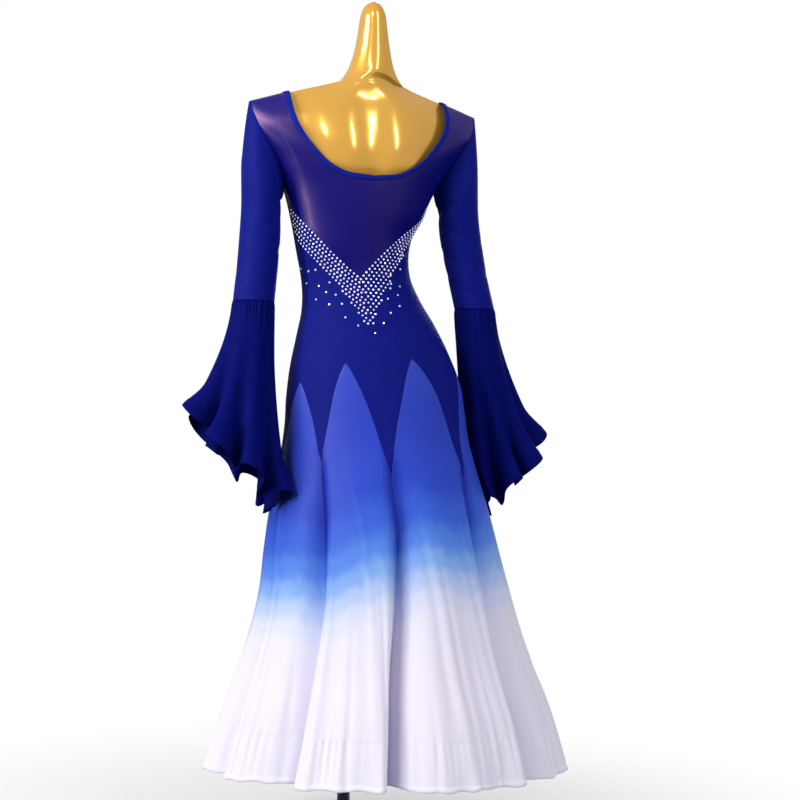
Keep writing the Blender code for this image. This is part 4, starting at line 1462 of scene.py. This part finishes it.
def build_floor():
    """A round pale floor that grows as bright as the backdrop far out."""
    count = 64
    points = []
    for i in range(count):
        turn = 2 * math.pi * i / count
        points.append((FLOOR_RADIUS * math.cos(turn), FLOOR_RADIUS * math.sin(turn), FLOOR_Z))
    mesh = bpy.data.meshes.new("floor")
    mesh.from_pydata(points, [], [tuple(range(count))])
    material, shader = new_material("pale_floor", "#f2f2f4", 0.9)
    place = add_node(material, "ShaderNodeTexCoord").outputs["Object"]
    far = add_node(material, "ShaderNodeVectorMath", [(0, place)], operation="LENGTH").outputs["Value"]
    fade = add_node(
        material, "ShaderNodeMapRange",
        [("Value", far), ("From Min", 0.25), ("From Max", 1.2), ("To Min", 0.50)],
        interpolation_type="SMOOTHSTEP",
    ).outputs["Result"]
    colour = add_node(material, "ShaderNodeMix", [("Factor", fade)], data_type="RGBA")
    colour.inputs["A"].default_value = srgb("#d8d8da")
    colour.inputs["B"].default_value = (0.0, 0.0, 0.0, 1.0)
    plug(material, colour.outputs["Result"], shader, "Base Color")
    seen = add_node(material, "ShaderNodeLightPath").outputs["Is Camera Ray"]
    glow = add_node(material, "ShaderNodeMath", [(0, fade), (1, seen)], operation="MULTIPLY")
    plug(material, glow.outputs[0], shader, "Emission Strength")
    shader.inputs["Emission Color"].default_value = (1.0, 1.0, 1.0, 1.0)
    shader.inputs["Specular IOR Level"].default_value = 0.0
    floor = add_piece("floor", mesh, material)


def area_light(name, where, size, power, colour, tall, mirrored_too=True):
    """A rectangular lamp aimed at the dress, and seen in glossy pieces or not."""
    light = bpy.data.lights.new(name, "AREA")
    light.shape = "RECTANGLE"
    light.size = size
    light.size_y = tall
    light.energy = power
    light.color = srgb(colour)[:3]
    obj = bpy.data.objects.new(name, light)
    obj.location = where
    obj.rotation_euler = (LIGHTS_AIM - where).to_track_quat("-Z", "Y").to_euler()
    obj.visible_camera = False
    obj.visible_glossy = mirrored_too
    bpy.context.scene.collection.objects.link(obj)


def build_world():
    """White to the camera, a soft grey for the light on the object."""
    world = bpy.data.worlds.new("studio")
    bpy.context.scene.world = world
    world.use_nodes = True
    back = world.node_tree.nodes["Background"]
    path = add_node(world, "ShaderNodeLightPath").outputs
    shiny = add_node(
        world, "ShaderNodeMapRange",
        [("Value", path["Is Glossy Ray"]), ("To Min", 0.28), ("To Max", 0.52)],
    ).outputs["Result"]
    strength = add_node(
        world, "ShaderNodeMath", [(0, shiny), (1, path["Is Camera Ray"])], operation="MAXIMUM"
    )
    plug(world, strength.outputs[0], back, "Strength")
    back.inputs["Color"].default_value = (1.0, 1.0, 1.0, 1.0)


def photo_axes():
    """The level directions from the object to the camera and to the photo's right."""
    turn = math.radians(PHOTO_TURN)
    towards = Vector((math.sin(turn), -math.cos(turn), 0.0))
    right = Vector((math.cos(turn), math.sin(turn), 0.0))
    return towards, right


def build_lights():
    """The key from the photo's upper left, a fill, three strips for the gold and one in front."""
    towards, right = photo_axes()
    up = Vector((0, 0, 1))
    area_light("key", towards * 2.0 - right * 2.0 + up * 2.3, 1.0, 49.0, "#ffffff", 1.5)
    area_light("fill", towards * 1.5 + right * 2.5 + up * 1.1, 1.6, 34.0, "#f2f4ff", 2.0, False)
    area_light("strip_left", towards * 1.2 - right * 2.0 + up * 1.7, 0.18, 36.0, "#ffffff", 2.2)
    area_light("strip_mid", towards * 2.4 - right * 0.35 + up * 3.3, 0.24, 8.0, "#ffffff", 0.5)
    area_light("strip_right", towards * 1.7 + right * 1.4 + up * 3.0, 0.14, 8.0, "#ffffff", 0.9)
    area_light("front", -towards * 2.6 + right * 0.6 + up * 2.0, 1.8, 30.0, "#ffffff", 2.0)


def build_camera():
    """The photo's camera, level and turned a little round its own axis."""
    towards, right = photo_axes()
    data = bpy.data.cameras.new("photo")
    data.lens = PHOTO_LENS
    data.sensor_width = 36.0
    camera = bpy.data.objects.new("photo", data)
    aim = Vector(PHOTO_AIM) + right * PHOTO_ASIDE
    place = Matrix.Translation(aim + towards * PHOTO_DISTANCE)
    turn = (-towards).to_track_quat("-Z", "Y").to_matrix().to_4x4()
    camera.matrix_world = place @ turn @ Matrix.Rotation(math.radians(PHOTO_TILT), 4, "Z")
    bpy.context.scene.collection.objects.link(camera)
    bpy.context.scene.camera = camera


def settle(obj, nodes):
    """The piece rides on the row's one body and stands for its CAD nodes."""
    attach(obj, "root")
    if nodes:
        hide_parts(*nodes)
    return obj


def wear(obj, node):
    """A piece of cloth for its node."""
    settle(obj, [node])


def set_up_stand():
    """The form, its pole, the collar that holds it and the round foot."""
    low, high = BASE_HEIGHT + 0.0003, BASE_HEIGHT + COLLAR_HEIGHT
    settle(build_form(), ["form_body"])
    turned = [
        ("stand_base_plate", "stand_base", rounded_profile(BASE_RADIUS, 0.0, BASE_HEIGHT)),
        ("stand_collar_ring", "stand_collar", rounded_profile(COLLAR_RADIUS, low, high)),
        ("stand_pole_tube", "stand_pole", [(POLE_RADIUS, low), (POLE_RADIUS, POLE_TOP)]),
    ]
    for name, node, profile in turned:
        settle(build_turned(name, profile), [node])


def dress_it():
    """All the cloth, each piece on what carries it."""
    stones = settle(build_stones(), [])
    wear(build_yoke(), "yoke_back")
    wear(build_back_bodice(), "bodice_back")
    wear(build_front_bodice(), "bodice_front")
    wear(build_binding(), "neck_binding")
    for godet in range(GODETS):
        wear(build_godet(godet), f"godet_{godet + 1}")
    for quarter in range(4):
        wear(build_hem_band(quarter), f"hem_band_{quarter + 1}")
    for arm in SIDES:
        sleeve, flounce = f"sleeve_{arm[0]}", f"flounce_{arm[0]}"
        wear(build_sleeve(arm), sleeve)
        wear(build_flounce(arm), flounce)


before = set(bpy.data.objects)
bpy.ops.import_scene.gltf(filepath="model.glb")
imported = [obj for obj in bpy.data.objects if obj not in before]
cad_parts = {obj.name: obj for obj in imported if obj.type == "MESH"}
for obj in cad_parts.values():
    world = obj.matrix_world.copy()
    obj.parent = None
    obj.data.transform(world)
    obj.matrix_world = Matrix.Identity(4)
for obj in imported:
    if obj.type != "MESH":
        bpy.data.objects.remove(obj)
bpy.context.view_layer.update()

KNIT = make_knit("royal_stretch_knit", "#0b1474", "#0f1a84", 0.01)
BINDING = make_knit("royal_binding", "#0f1b82", "#152590", 0.03)
MESH_CLOTH = make_mesh_cloth()
CHIFFON = make_ombre("ombre_satin_chiffon")
HEM_CLOTH = make_ombre("white_satin_chiffon")
FLOUNCE_CLOTH = make_flounce_cloth()
GOLD = make_gold()
CHROME = make_chrome()
STONE = make_stone()

set_up_stand()
dress_it()
build_floor()
build_world()
build_lights()
build_camera()
bpy.context.scene.view_settings.view_transform = "Standard"

bpy.context.view_layer.update()
